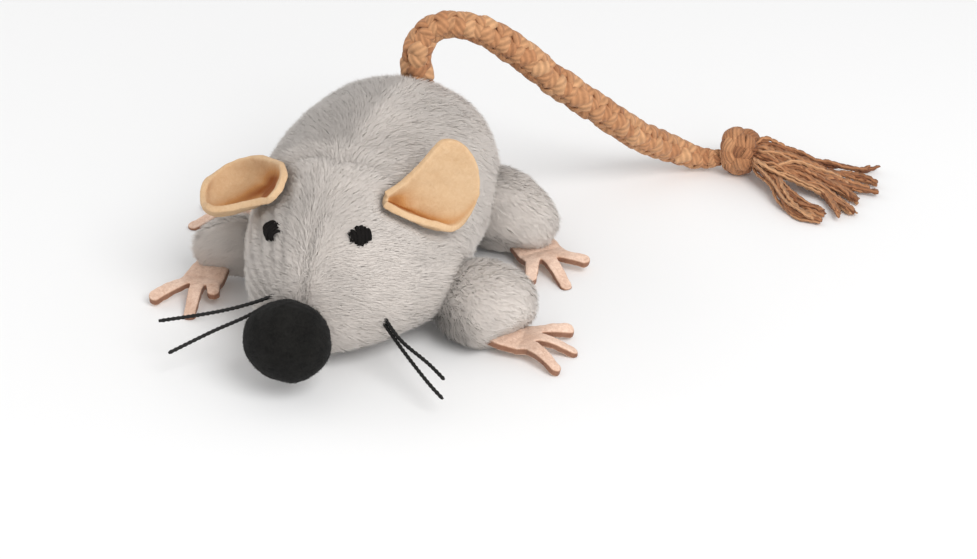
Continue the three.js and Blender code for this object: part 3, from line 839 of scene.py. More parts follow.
def rim_distance(u, v):
    """Millimetres from the felt's cut edge, for a place given as shares along and across the ear."""
    return np.minimum(np.minimum(u, 1 - u) * ear_length, np.minimum(v, 1 - v) * ear_width)


def fold_shade_and_rim_notes(points, grid, facing, fold_place, fold_width, fold, painted_pocket_shade):
    """How much painted shade each point of an ear gets, in the fold and at the sewn corner, and how near the
    cut edge it lies.
    """
    flat = grid.reshape(-1, 3)
    nearest = nearest_spot(points, flat)
    surface = unit(np.cross(np.gradient(grid, axis=0), np.gradient(grid, axis=1)).reshape(-1, 3))
    surface *= np.sign((surface @ facing).sum())
    height = ((points - flat[nearest]) * surface[nearest]).sum(1)
    i, j = np.divmod(nearest, grid.shape[1])
    u, v = i / ear_steps_along, j / ear_steps_across
    inner = np.clip(height / ear_thickness + 1, 0, 1) * (rim_distance(u, v) > 0.8)
    painted_crease_shade = fold * groove(v - fold_place, fold_width) * np.clip(1.1 - u, 0, 1)
    painted_broad_fold_shade = 0.3 * fold * groove(v - fold_place, 0.4) * np.clip(1 - u / 0.8, 0, 1)
    end = painted_pocket_shade * groove(u - 0.13, 0.13) * np.clip((0.97 - v) / 0.3, 0, 1)
    return np.clip(np.maximum(painted_crease_shade, end) + painted_broad_fold_shade, 0, 1) * inner, groove(rim_distance(u, v), 1.3)


print("felt shading is ready")


# %% Cut and fold the ears
def face_outwards(piece):
    """Turns every face of a closed piece outwards."""
    select_only(piece)
    bpy.ops.object.mode_set(mode="EDIT")
    bpy.ops.mesh.select_all(action="SELECT")
    bpy.ops.mesh.normals_make_consistent(inside=False)
    bpy.ops.object.mode_set(mode="OBJECT")


ears = {}
for name, (corner, *ways) in ear_places.items():
    bpy.ops.object.select_all(action="DESELECT")
    bpy.ops.mesh.primitive_grid_add(x_subdivisions=ear_steps_along, y_subdivisions=ear_steps_across, size=2)
    ear = bpy.context.object
    ear.name = ear.data.name = name + "_felt"
    flat = places(ear)
    i = np.rint((flat[:, 0] + 1) / 2 * ear_steps_along).astype(int)
    j = np.rint((flat[:, 1] + 1) / 2 * ear_steps_across).astype(int)
    ways = ear_ways(*ways)
    grid = trunk_place(*corner) + folded_felt(ear_rows[name]) @ ways
    put(ear, grid[i, j])
    felt_side = -1 if np.dot(outward(ear).mean(0), ways[2]) > 0 else 1
    apply_modifier(ear, "SOLIDIFY", thickness=ear_thickness, offset=felt_side, use_even_offset=False)
    face_outwards(ear)
    apply_modifier(ear, "REMESH", mode="VOXEL", voxel_size=0.3 * mm)
    apply_modifier(ear, "SMOOTH", factor=0.5, iterations=16)
    put(ear, places(ear) + outward(ear) * drift(places(ear), 2.4 * mm, 2.0)[:, :1] * 0.18 * mm)
    # The fold note: painted shade in the fold and at the sewn corner, and nearness to the cut edge.
    note(ear, "fold", *fold_shade_and_rim_notes(places(ear), grid, ways[2], *ear_shades[name]))
    bpy.ops.object.shade_smooth()
    ears[name] = ear
    print(name, len(ear.data.polygons), "faces")

# %% [markdown]
# ## Leather paws
#
# Each paw is cut from thick suede: a palm and three fingers, with a tab that is sewn into the end of the leg.
# The parts are laid over each other as blocks, joined by a voxel remesh and smoothed, which rounds the cut
# edges as tumbled suede has them. Then the fingers are given a slight arch each and the paw is pitched on to
# its floor.

# %% Lay out a paw
floor_gap = 0.3 * mm
paw_thickness, tab_length = 2.1 * mm, 5 * mm
finger_length, finger_width = 11 * mm, 3.4 * mm
paw_pitch = math.radians(6)
# Each paw in millimetres: its wrist's place on the floor, its heading, the palm's length and its width at the
# wrist and at the knuckles, then each finger's turn and share of the finger length.
paw_forms = {
    "front_left": ((44.4, -17.2), 3, (8, 11.5, 12), [(-33, 0.98), (5, 1.05), (33, 0.88)]),
    "front_right": ((-41.2, -10.2), -88, (8.4, 10.5, 12), [(-36, 0.96), (9, 1.15), (22, 0.42)]),
    "rear_left": ((36, 31.4), -46, (10.6, 13, 13), [(-30, 0.72), (3, 1.05), (46, 0.66)]),
    "rear_right": ((-42, 27.4), 216, (7, 9.5, 12), [(-37, 0.9), (0, 1.3), (34, 0.85)]),
}


def block(length, start_width, end_width):
    """A block from the origin along X, with its underside at z = 0."""
    bpy.ops.mesh.primitive_cube_add(size=1)
    piece = bpy.context.object
    corners = places(piece)
    width = np.where(corners[:, 0] < 0, start_width, end_width)
    size = np.stack([np.full(8, length), width, np.full(8, paw_thickness)], 1)
    put(piece, (corners + [0.5, 0, 0.5]) * size)
    return piece


def fingertip(at):
    bpy.ops.mesh.primitive_cylinder_add(vertices=24, radius=finger_width / 2, depth=paw_thickness)
    piece = bpy.context.object
    piece.data.transform(Matrix.Translation((at, 0, paw_thickness / 2)))
    return piece


def joined(parts, name):
    select_only(parts[0])
    for part in parts:
        part.select_set(True)
    bpy.ops.object.join()
    piece = bpy.context.object
    piece.name = piece.data.name = name
    return piece


def paw_blank(name, palm_length, wrist_width, knuckle_width, fingers):
    """Tab, palm and fingers laid over each other and joined, with the wrist at the origin."""
    bpy.ops.object.select_all(action="DESELECT")
    tab = block(tab_length, 0.8 * wrist_width, wrist_width)
    tab.data.transform(Matrix.Translation((-tab_length, 0, 0)))
    parts = [tab, block(palm_length, wrist_width, knuckle_width)]
    for i, (turn, share) in enumerate(fingers):
        place = Matrix.Translation((palm_length, (i - 1) * (knuckle_width - finger_width) / 2, 0))
        place = place @ Matrix.Rotation(math.radians(turn), 4, "Z")
        reach = share * finger_length - finger_width / 2
        bone = block(reach + finger_width, 1.25 * finger_width, 0.95 * finger_width)
        bone.data.transform(Matrix.Translation((-finger_width, 0, 0)))
        for part in (bone, fingertip(reach)):
            part.data.transform(place)
            parts.append(part)
    return joined(parts, name + "_paw_suede")


print("paws:", {name: len(form[3]) for name, form in paw_forms.items()}, "fingers")


# %% Cut and shape the paws
def bend_paw(points, palm_length, knuckle_width, heading):
    """Arches the fingers, each a little differently, and cups the palm."""
    across = points[:, 1] / knuckle_width
    beyond = np.clip((points[:, 0] - 0.6 * palm_length) / finger_length, 0, 1.6)
    points[:, 2] += (1.3 * np.sin(beyond * 3) + 0.4 * np.sin(across * 5 + heading) * beyond) * mm
    points[:, 2] += 0.8 * mm * np.cos(across * 3) * groove(points[:, 0], palm_length)


paws = {}
for name, (wrist, heading, palm, fingers) in paw_forms.items():
    palm_length, wrist_width, knuckle_width = (size * mm for size in palm)
    paw = paw_blank(name, palm_length, wrist_width, knuckle_width, fingers)
    apply_modifier(paw, "REMESH", mode="VOXEL", voxel_size=0.28 * mm)
    apply_modifier(paw, "SMOOTH", factor=0.5, iterations=14)
    points = places(paw)
    level = np.abs(outward(paw)[:, 2])
    bend_paw(points, palm_length, knuckle_width, heading)
    points += outward(paw) * drift(points, 1.6 * mm, heading)[:, :1] * 0.16 * mm
    put(paw, points)
    rise = floor_gap + (palm_length + finger_length) * math.sin(paw_pitch)
    seat = Matrix.Translation((wrist[0] * mm, wrist[1] * mm, rise))
    seat = seat @ (Matrix.Rotation(math.radians(heading), 4, "Z") @ Matrix.Rotation(paw_pitch, 4, "Y"))
    paw.data.transform(seat)
    points = places(paw)
    points[:, 2] = np.maximum(points[:, 2], floor_gap * 0.5)
    put(paw, points)
    # The cut note is painted shade: it darkens the suede's sides, where its faces turn away from up.
    note(paw, "cut", np.clip(1.25 - 1.6 * level, 0, 1))
    bpy.ops.object.shade_smooth()
    paws[name] = paw
    print(name, "paw has", len(paw.data.polygons), "faces")

# %% [markdown]
# ## The felted nose
#
# A ball of black wool felt. A sphere is scaled to the ball and pushed in and out a little by noise, because
# felt is never perfectly round.

# %% Roll the nose
nose_size = np.array([22.4, 18.2, 21.4]) * mm
nose_middle = trunk_place(0, -0.068, 0.3)
bpy.ops.object.select_all(action="DESELECT")
bpy.ops.mesh.primitive_uv_sphere_add(segments=72, ring_count=48, radius=0.5)
nose = bpy.context.object
nose.name = nose.data.name = "nose_felt"
points = places(nose)
lumps = drift(points * nose_size, 6 * mm, 3.0)[:, 0] * 0.5
lumps += drift(points * nose_size, 1.5 * mm, 4.0)[:, 0] * 0.22
put(nose, nose_middle + points * nose_size + unit(points) * lumps[:, None] * mm)
bpy.ops.object.shade_smooth()
print("nose", np.round(nose_size / mm, 1), "mm")

# %% [markdown]
# ## Stitched eyes
#
# Each eye is a little mound of satin stitches in thick dark thread. One stitch is half a ring, spun from a
# circle. Six copies of it side by side, longest in the middle, fill the oval.

# %% Spin one stitch
stitch_thickness = 0.2


def spun_stitch():
    """Half a ring of thread over the origin, one unit high and two long, made by spinning a circle."""
    bpy.ops.object.select_all(action="DESELECT")
    bpy.ops.mesh.primitive_circle_add(vertices=8, radius=stitch_thickness, location=(1, 0, 0))
    bpy.ops.object.transform_apply(location=True, rotation=True, scale=True)
    bpy.ops.object.mode_set(mode="EDIT")
    bpy.ops.mesh.select_all(action="SELECT")
    bpy.ops.mesh.spin(steps=12, angle=-math.pi, center=(0, 0, 0), axis=(0, 1, 0))
    bpy.ops.mesh.select_all(action="SELECT")
    bpy.ops.mesh.remove_doubles(threshold=1e-5)
    bpy.ops.mesh.select_mode(type="EDGE")
    bpy.ops.mesh.select_all(action="DESELECT")
    bpy.ops.mesh.select_non_manifold()
    bpy.ops.mesh.fill()
    bpy.ops.object.mode_set(mode="OBJECT")
    thread = bpy.context.object
    points = places(thread)
    if points[:, 2].mean() < 0:
        put(thread, points * [1, 1, -1])
    face_outwards(thread)
    return thread


stitch = spun_stitch()
print("a stitch has", len(stitch.data.polygons), "faces")

# %% Stitch the eyes
eye_width, eye_height, eye_rise = 5.6 * mm, 4.6 * mm, 2 * mm
eye_places = {"left_eye": (0.385, 0.145, 0.7), "right_eye": (-0.4, 0.13, 0.665)}
stitch_count = 6


def tree_of(piece):
    """A piece's surface, ready for finding the nearest place on it."""
    faces = [tuple(face.vertices) for face in piece.data.polygons]
    return BVHTree.FromPolygons([tuple(point) for point in places(piece)], faces)


trunk_tree = tree_of(backing)
stitch_points = places(stitch)
eyes = {}
for seed, (name, at) in enumerate(eye_places.items()):
    rng = np.random.default_rng(60 + seed)
    at = trunk_place(*at)
    root, normal, _, _ = trunk_tree.find_nearest(Vector(at))
    normal = np.array(normal)
    normal = normal if np.dot(normal, at - neck_point) > 0 else -normal
    level = unit(np.cross([0, 0, 1], normal))
    steep = np.cross(normal, level)
    threads = []
    for i in range(stitch_count):
        across = (i + 0.5) / stitch_count * 2 - 1
        reach = math.sqrt(1 - across**2 * 0.8) * rng.uniform(0.9, 1.1)
        local = stitch_points * [reach * eye_height / 2, eye_width / stitch_count / 0.3, 1]
        local[:, 2] = stitch_points[:, 2] * eye_rise * (0.5 + 0.5 * reach)
        local[:, 1] += across * eye_width / 2 + rng.normal(0, 0.1) * local[:, 0]
        thread = copy_of(stitch, name + "_thread")
        put(thread, np.array(root) + local @ np.stack([steep, level, normal]))
        face_outwards(thread)
        threads.append(thread)
    eyes[name] = joined(threads, name + "_stitches")
    bpy.ops.object.shade_smooth()
    print(name, len(eyes[name].data.polygons), "faces")
bpy.data.objects.remove(stitch)

# %% [markdown]
# ## Growing the pile
#
# Plush is a cloth with a standing pile, combed one way by the cutter and disturbed by handling. A hair system
# can't travel with the model, so every fibre here is mesh: a narrow pointed ribbon of three joints. Roots are
# spread evenly over the backing. Fibres lean with the nap, wander with a slow noise, and draw together at
# their tips in small tufts. Each ribbon's normals lean towards the backing's, so that the pile takes the
# light softly.


# %% Spread the roots
def backing_triangles(piece):
    piece.data.calc_loop_triangles()
    corners = np.empty(len(piece.data.loop_triangles) * 3, np.int32)
    piece.data.loop_triangles.foreach_get("vertices", corners)
    return corners.reshape(-1, 3)


def scatter(piece, count, rng):
    """Evenly spread roots on a piece, with the backing's normals."""
    points, normals, corners = places(piece), outward(piece), backing_triangles(piece)
    a, b, c = (points[corners[:, k]] for k in range(3))
    area = np.linalg.norm(np.cross(b - a, c - a), axis=1)
    total = np.cumsum(area)
    pick = (np.arange(count) + rng.uniform(size=count)) / count * total[-1]
    face = np.minimum(np.searchsorted(total, pick), len(area) - 1)
    u, v = rng.uniform(size=(2, count))
    u, v = np.where(u + v > 1, 1 - u, u), np.where(u + v > 1, 1 - v, v)
    weights = np.stack([1 - u - v, u, v], 1)[..., None]
    roots = (points[corners[face]] * weights).sum(1)
    return roots, unit((normals[corners[face]] * weights).sum(1))


print("roots can be spread")

# %% Comb the fibres
tuft_width = 1.3 * mm
root_depth = 0.25 * mm
cell = 2 * mm


def spread_area(roots):
    """About how much backing the roots cover."""
    cells = np.unique(np.floor(roots / cell).astype(int), axis=0)
    return len(cells) * cell**2 * 0.7


def comb(roots, normals, nap, lengths, rng, lean=(28, 72), pull=0.05, stray=0.16, swirl=0.4):
    """The three joints of each fibre, as an array of count by 3 by 3."""
    count = len(roots)
    nap = nap + swirl * drift(roots, 6 * mm) + 0.15 * drift(roots, 2 * mm, 9.0)
    nap = nap + rng.normal(0, stray, (count, 3))
    nap = unit(nap - normals * (nap * normals).sum(1, keepdims=True))
    swell = drift(roots, 4 * mm, 20.0)[:, 0]
    start = np.radians(lean[0] + 8 * swell + rng.normal(0, 8, count))
    finish = np.radians(np.clip(lean[1] + 10 * swell + rng.normal(0, 9, count), 0, 88))
    joints = [roots - normals * root_depth]
    for bend, part in ((start, 0.45), (finish, 0.55)):
        way = np.cos(bend)[:, None] * normals + np.sin(bend)[:, None] * nap
        joints.append(joints[-1] + way * lengths[:, None] * part)
    joints = np.stack(joints, 1)
    spacing = max(int(count * tuft_width**2 / max(spread_area(roots), 1e-9)), 2)
    leaders = np.arange(0, count, spacing)
    gather = joints[leaders[nearest_spot(joints[:, 1], joints[leaders, 1])]] - joints
    share = np.array([0, 0.25, 1.0])[None, :, None] * pull
    return joints + gather * share * rng.uniform(0.2, 1.3, (count, 1, 1))


print("tufts are", round(tuft_width / mm, 1), "mm wide")

# %% Grow the fibres
fibre_floor = 0.15 * mm
fibre_points = 5
# What the backing itself notes, where it shows between the fibres.
backing_shade, backing_tone = 0.85, 0.5


def ribbons(joints, normals, width, rng, roll=0.6):
    """Points, point normals and faces of pointed ribbons over the fibres' joints."""
    count = len(joints)
    way = unit(joints[:, 2] - joints[:, 0])
    side = unit(np.cross(way, normals))
    front = np.cross(side, way)
    turn = rng.normal(0, roll, count)[:, None]
    side, front = side * np.cos(turn) + front * np.sin(turn), front * np.cos(turn) - side * np.sin(turn)
    half = width[:, None, None] / 2 * np.array([1, 0.85])[None, :, None]
    edge = half * side[:, None]
    pairs = np.stack([joints[:, :2] - edge, joints[:, :2] + edge], 2).reshape(count, 4, 3)
    points = np.concatenate([pairs, joints[:, 2:]], 1)
    facing = unit(0.94 * normals + 0.06 * front)
    round_off = 0.12 * side
    point_normals = np.stack([facing - round_off, facing + round_off] * 2 + [facing], 1)
    base = (np.arange(count) * fibre_points)[:, None]
    quads = base + np.array([[0, 1, 3, 2]])
    tips = base + np.array([[2, 3, 4]])
    return points.reshape(-1, 3), unit(point_normals).reshape(-1, 3), [quads, tips]


def grow(piece, joints, normals, widths, shades, rng):
    """Adds fibres to a piece's mesh. Its points note their place along the fibre, its shade and its tone."""
    points, point_normals, (quads, tips) = ribbons(joints, normals, widths, rng)
    points[:, 2] = np.maximum(points[:, 2], fibre_floor)
    skin_points, skin_normals, triangles = places(piece), outward(piece), backing_triangles(piece)
    base = len(skin_points)
    faces = [triangles, quads + base, tips + base]
    grown = mesh_piece(piece.name + "_grown", np.vstack([skin_points, points]), faces)
    values = np.zeros((base + len(points), 3))
    values[:base, 1:] = backing_shade, backing_tone
    values[base:, 0] = np.tile(np.array([0, 0, 0.5, 0.5, 1]), len(joints))
    values[base:, 1:] = np.repeat(shades, fibre_points, axis=0)
    note(grown, "pile", *values.T)
    grown.data.normals_split_custom_set_from_vertices(np.vstack([skin_normals, point_normals]))
    old = piece.data
    name = old.name
    piece.data = grown.data
    bpy.data.objects.remove(grown)
    bpy.data.meshes.remove(old)
    piece.data.name = name
    print(name, "has", len(joints), "fibres")


print("a fibre has", fibre_points, "points")

# %% [markdown]
# ## Where the pile grows and how it lies
#
# On the head the nap runs from the nose backwards and outwards. On the back it runs down from the middle
# seam, and a little backwards. Beside the nose a thumb has parted it in ridges. Shade is painted into the
# furrows between the ridges, along the seams and into the crevices round the legs. Fibres are short near the
# eyes, under the ears and near the floor, and none grow inside the nose, the eyes, the legs or the cord's
# hole.
# A fibre that would pass through an ear is left out, and the backing is pressed in a little under each ear.

# %% Make room for the ears
ear_trees = {name: tree_of(ear) for name, ear in ears.items()}
ear_room = 3.4 * mm


def near_ears(points, reach):
    """For each ear, its tree and which of the points lie within reach of its box."""
    for name, tree in ear_trees.items():
        spots = places(ears[name])
        near = (points > spots.min(0) - reach) & (points < spots.max(0) + reach)
        yield tree, np.flatnonzero(near.all(1))


def crosses(tree, start, end):
    start, end = Vector(start), Vector(end)
    return tree.ray_cast(start, end - start, (end - start).length)[0] is not None


def meets_ear(joints):
    """Which fibres pass through an ear's felt."""
    hit = np.zeros(len(joints), bool)
    for tree, near in near_ears(joints[:, 0], 3 * mm):
        for i in near:
            hit[i] |= crosses(tree, joints[i, 0], joints[i, 1]) or crosses(tree, joints[i, 1], joints[i, 2])
    return hit


def from_ears(points, within=6 * mm):
    """How far points are from the nearest ear, up to a limit."""
    apart = np.full(len(points), within)
    for tree, near in near_ears(points, within):
        apart[near] = np.minimum(apart[near], [tree.find_nearest(p)[3] for p in points[near]])
    return apart


for piece in (body, head):
    points = places(piece)
    press = 0.5 * np.clip(ear_room - from_ears(points), 0, None)
    put(piece, points - outward(piece) * press[:, None])
    print(piece.name, "is pressed in by up to", round(press.max() / mm, 1), "mm")


# %% How the pile lies and is toned
def trunk_nap(roots):
    """The way the pile is combed at each root."""
    ahead = np.clip((neck_point[1] - roots[:, 1]) / (10 * mm), 0, 1)[:, None]
    from_seam = np.tanh(roots[:, 0] / (7 * mm))
    away_from_seam = np.stack([from_seam, 0 * from_seam, -0.3 * np.abs(from_seam)], 1)
    backwards = np.array([[0, 1.0, 0]])
    head_nap = 0.75 * backwards + 0.7 * away_from_seam
    body_nap = 0.7 * backwards + 0.8 * away_from_seam + np.array([[0, 0, -0.4]])
    return head_nap * ahead + body_nap * (1 - ahead)


def pile_tone_and_side_shade(roots, side_shade_weight=1.0):
    """Slow changes of tone over the cloth, with painted shade on the body's right side, which faces away from
    the key lamp.
    """
    slow = drift(roots, 12 * mm, 7.0)[:, 0] + 0.6 * drift(roots, 4 * mm, 17.0)[:, 0]
    # Painted shade: the right side is darkened, more on the body than on the head.
    right_side_shade = np.clip(0.5 - roots[:, 0] / (3 * mm), 0, 1)
    on_body = np.clip((roots[:, 1] - neck_point[1]) / (4 * mm), 0, 1)
    return 0.6 + 0.2 * slow - side_shade_weight * right_side_shade * (0.12 + 0.4 * on_body)


def round_leg(points, name, longer, wider):
    """How far out points lie round a leg made longer and wider by these lengths: less than 1 inside it."""
    radius, half_length, middle, way = leg_frame(name)
    along = (points - middle) @ way
    off = np.linalg.norm(points - middle - along[:, None] * way, axis=1)
    return (along / (half_length + longer)) ** 2 + (off / (radius + wider)) ** 2


def painted_leg_crevice_shade(roots):
    """How much painted shade each root of the trunk's pile gets in the crevice round a leg, most of all low
    down.
    """
    depth = np.zeros(len(roots))
    for name in leg_forms:
        out = np.sqrt(round_leg(roots, name, 2 * mm, 1 * mm))
        depth = np.maximum(depth, 1 - eased((out - 0.85) / 0.35))
    return depth * np.clip((26 * mm - roots[:, 2]) / (10 * mm), 0, 1)


# The pile of the right side of the face is parted in ridges, which run out from the nose as far back as this.
ridges_end = -24 * mm
ridges_round_nose = 30


def furrows(roots):
    """How deep each root lies between the ridges beside the nose."""
    beside = np.clip(-1 - roots[:, 0] / (2 * mm), 0, 1) * np.clip((ridges_end - roots[:, 1]) / (6 * mm), 0, 1)
    round_nose = np.arctan2(roots[:, 2] - nose_middle[2], roots[:, 0] - nose_middle[0])
    return beside * (0.5 + 0.5 * np.cos(ridges_round_nose * round_nose))


print("ridges round the nose:", ridges_round_nose)

# %% Where it is bare and where it is short
tail_exit = tail_path[np.argmax(tail_path[:, 2] > 47 * mm)]
hole_radius, hole_bottom = 3.9 * mm, 40 * mm
eye_middles = [places(eye).mean(0) for eye in eyes.values()]
eye_clearing = np.array([5, 5, 4.6]) * mm
eye_reach = 4.2 * mm


def inside(points, middle, size):
    return (((points - middle) / (size / 2)) ** 2).sum(1) < 1


def bare(roots):
    """Where no pile grows: in the cord's hole, on the neck seam's faces, and in the nose, eyes and legs."""
    from_cord = np.linalg.norm((roots - tail_exit)[:, :2], axis=1)
    none = (from_cord < hole_radius) & (roots[:, 2] > hole_bottom)
    none |= np.abs((roots - neck_point) @ neck_way) < 0.3 * mm
    none |= inside(roots, nose_middle, nose_size * 0.97)
    for middle in eye_middles:
        none |= inside(roots, middle, eye_clearing)
    for name in leg_forms:
        none |= round_leg(roots, name, -2 * mm, -2.5 * mm) < 1
    return none


def trimmed(lengths, roots, furrow):
    """Shortens fibres near the eyes, under the ears, near the floor, behind the nose and in the furrows."""
    from_eyes = np.min([np.linalg.norm(roots - middle, axis=1) for middle in eye_middles], axis=0)
    near_eye = groove(from_eyes, eye_reach)
    lengths = lengths * ((1 - 0.5 * near_eye) * np.clip(from_ears(roots) / (4.5 * mm), 0.4, 1))
    lengths *= np.clip(0.55 + roots[:, 2] / (16 * mm), 0.55, 1)
    from_nose = np.linalg.norm((roots - nose_middle) / (nose_size / 2), axis=1)
    lengths *= np.clip((from_nose - 0.4) / 0.7, 0.85, 1)
    return lengths * (1 - 0.4 * furrow)


print("the cord's hole is", round(2 * hole_radius / mm, 1), "mm wide")

# %% Comb the head and the body
fibre_width = (0.12 * mm, 0.22 * mm)
uneven_length = (0.75, 1.2)
# The middle and the spread of the shades from fibre to fibre.
fibre_shade = (0.85, 0.036)

for piece, count, seed, length in ((body, 205000, 11, 3.9 * mm), (head, 108000, 12, 3.5 * mm)):
    rng = np.random.default_rng(seed)
    roots, normals = scatter(piece, count, rng)
    grows = ~bare(roots)
    roots, normals = roots[grows], normals[grows]
    furrow = furrows(roots)
    lengths = trimmed(length * rng.uniform(*uneven_length, len(roots)), roots, furrow)
    joints = comb(roots, normals, trunk_nap(roots), lengths, rng)
    # Painted shade: fibres are darkened along the seam grooves, in the furrows beside the nose and in the
    # crevices round the legs; the rest of the spread is random from fibre to fibre.
    shade = rng.normal(*fibre_shade, len(roots)) - 0.11 * sewn(roots)[1]
    shade = shade - 0.2 * furrow - 0.6 * painted_leg_crevice_shade(roots)
    keep = ~meets_ear(joints)
    widths = rng.uniform(*fibre_width, keep.sum())
    grow(piece, joints[keep], normals[keep], widths, np.stack([shade, pile_tone_and_side_shade(roots)], 1)[keep], rng)

# %% [markdown]
# ## The pile of the legs
#
# A leg's pile is combed towards its paw and a little down. It is short at its edge over the paw, and painted
# shade darkens it in the crevice between leg and trunk, most of all low down. Fibres that would grow inside
# the trunk or lie on the paw are left out.

# %% Comb the legs
leg_fibres, leg_pile = 30000, 3.8 * mm
droop = np.array([0, 0, -0.35])
for seed, (name, leg) in enumerate(legs.items()):
    rng = np.random.default_rng(30 + seed)
    radius, half_length, middle, way = leg_frame(name)
    roots, normals = scatter(leg, leg_fibres, rng)
    apart = np.array([trunk_tree.find_nearest(p)[3] for p in roots])
    beyond = past_edge(name, roots)[0]
    low = np.clip((13 * mm - roots[:, 2]) / (6 * mm), 0, 1)
    near_edge = np.clip(1 + beyond / (4 * mm), 0, 1) * low
    lengths = leg_pile * rng.uniform(*uneven_length, len(roots))
    lengths *= np.clip(0.5 + roots[:, 2] / (14 * mm), 0.5, 1)
    lengths *= 1 - 0.5 * near_edge
    joints = comb(roots, normals, way + droop, lengths, rng, swirl=0.3, pull=0.12, stray=0.3)
    over_paw = (past_edge(name, joints[:, 2])[0] > 1 * mm) & (joints[:, 2, 2] < 9 * mm)
    keep = (apart > 0.3 * mm) & ~over_paw
    # Painted shade: the pile is darkened next to the trunk, towards the leg's root and low down, where the
    # crevice lies in shade.
    inner = eased((0.15 - (roots - middle) @ way / half_length) / 0.9)
    painted_crevice_shade = np.maximum(groove(apart, 3.5 * mm), inner) * (0.2 + 0.8 * low)
    shade = rng.normal(*fibre_shade, len(roots)) - 1.25 * painted_crevice_shade * (1 + drift(roots, 3 * mm, 6.0)[:, 0])
    shades = np.stack([shade, 0.2 + pile_tone_and_side_shade(roots, side_shade_weight=0.0)], 1)[keep]
    grow(leg, joints[keep], normals[keep], rng.uniform(*fibre_width, keep.sum()), shades, rng)
bpy.data.objects.remove(backing)

# %% [markdown]
# ## The nap of the nose
#
# Wool felt keeps some loose fibres. The nose gets its own from the same fibre maker, short and in every
# direction.

# %% Raise the nap of the nose
nose_fibres, loose_fibre_width = 9000, 0.1 * mm
rng = np.random.default_rng(50)
roots, normals = scatter(nose, nose_fibres, rng)
lengths = rng.uniform(0.5, 1.1, len(roots)) * mm
joints = comb(roots, normals, rng.normal(0, 1, (len(roots), 3)), lengths, rng, lean=(35, 75), pull=0.1)
shades = np.full((len(roots), 2), 0.5)
grow(nose, joints, normals, np.full(len(roots), loose_fibre_width), shades, rng)

# %% [markdown]
# ## Finishes
#
# Felt, suede, wool and waxed thread share one effect: a grain of short fibres that shows as mottled colour
# and as a slight roughness of the surface. It is built once as a node group, with the grain's size, its
# contrast and the two colours as inputs, and each material places it with its own values.


# %% The shared fibre grain
def feed_all(tree, node, feeds):
    """Links each named input of a node to the socket given for it, or sets it to the value given."""
    for key, feed in feeds.items():
        if isinstance(feed, bpy.types.NodeSocket):
            tree.links.new(feed, node.inputs[key])
        else:
            node.inputs[key].default_value = feed


def add(tree, kind, feeds, **settings):
    made = tree.nodes.new("ShaderNode" + kind)
    for key, value in settings.items():
        setattr(made, key, value)
    feed_all(tree, made, feeds)
    return made.outputs


grain = bpy.data.node_groups.new("fibre_grain", "ShaderNodeTree")
for name, way, kind in (
    ("Size", "INPUT", "Float"), ("Contrast", "INPUT", "Float"), ("Dark", "INPUT", "Color"),
    ("Light", "INPUT", "Color"), ("Colour", "OUTPUT", "Color"), ("Height", "OUTPUT", "Float"),
):
    grain.interface.new_socket(name=name, in_out=way, socket_type="NodeSocket" + kind)


def build_grain(tree):
    """Mottles two colours by fine noise over slower noise, and gives the fine noise as the height."""
    come = tree.nodes.new("NodeGroupInput").outputs
    where = add(tree, "TexCoord", {})["Object"]
    wave = add(tree, "Math", {0: 1, 1: come["Size"]}, operation="DIVIDE")[0]
    slower = add(tree, "Math", {0: wave, 1: 0.16}, operation="MULTIPLY")[0]
    finely = {"Vector": where, "Scale": wave, "Detail": 5, "Roughness": 0.7, "Distortion": 1.2}
    fine = add(tree, "TexNoise", finely)["Fac"]
    coarse = add(tree, "TexNoise", {"Vector": where, "Scale": slower, "Detail": 2})["Fac"]
    blend = add(tree, "Mix", {"Factor": 0.4, "A": fine, "B": coarse}, data_type="FLOAT")["Result"]
    centred = add(tree, "Math", {0: blend, 1: 0.5}, operation="SUBTRACT")[0]
    spread = {0: centred, 1: come["Contrast"], 2: 0.5}
    mottled = add(tree, "Math", spread, operation="MULTIPLY_ADD", use_clamp=True)[0]
    colours = {"Factor": mottled, "A": come["Dark"], "B": come["Light"]}
    colour = add(tree, "Mix", colours, data_type="RGBA")["Result"]
    feed_all(tree, tree.nodes.new("NodeGroupOutput"), {"Colour": colour, "Height": fine})


build_grain(grain)
print("group", grain.name, "with", len(grain.nodes), "nodes")


# %% How materials are put together
def srgb(red, green, blue):
    """A colour given as on a screen, from 0 to 255, in the scene's own light values."""
    values = [v / 255 for v in (red, green, blue)]
    return tuple(v / 12.92 if v <= 0.04045 else ((v + 0.055) / 1.055) ** 2.4 for v in values) + (1,)


def plain_material(name, roughness, sheen=0.0, specular=0.25):
    material = bpy.data.materials.new(name)
    material.use_nodes = True
    tree = material.node_tree
    shader = tree.nodes["Principled BSDF"]
    finish = {"Roughness": roughness, "Specular IOR Level": specular}
    feed_all(tree, shader, finish | {"Sheen Weight": sheen, "Sheen Roughness": 0.5})
    return material, tree, shader


def ramp(tree, stops, feed):
    """A colour from a list of stops, by a value from 0 to 1."""
    made = tree.nodes.new("ShaderNodeValToRGB")
    elements = made.color_ramp.elements
    while len(elements) < len(stops):
        elements.new(0.5)
    for element, (at, colour) in zip(elements, stops):
        element.position = at
        element.color = colour
    tree.links.new(feed, made.inputs["Fac"])
    return made.outputs["Color"]


def scaled(tree, colour, factor):
    """A colour multiplied by a value or by another colour."""
    feeds = {"Factor": 1, "A": colour, "B": factor}
    return add(tree, "Mix", feeds, data_type="RGBA", blend_type="MULTIPLY")["Result"]


def between(tree, feed, low, high):
    """A value from 0 to 1 spread between two others."""
    return add(tree, "MapRange", {"Value": feed, "To Min": low, "To Max": high})["Result"]


def bumped(tree, height, depth):
    """The surface's direction, roughened by a height that is worth up to the depth given."""
    return add(tree, "Bump", {"Height": height, "Distance": depth, "Strength": 0.7})["Normal"]


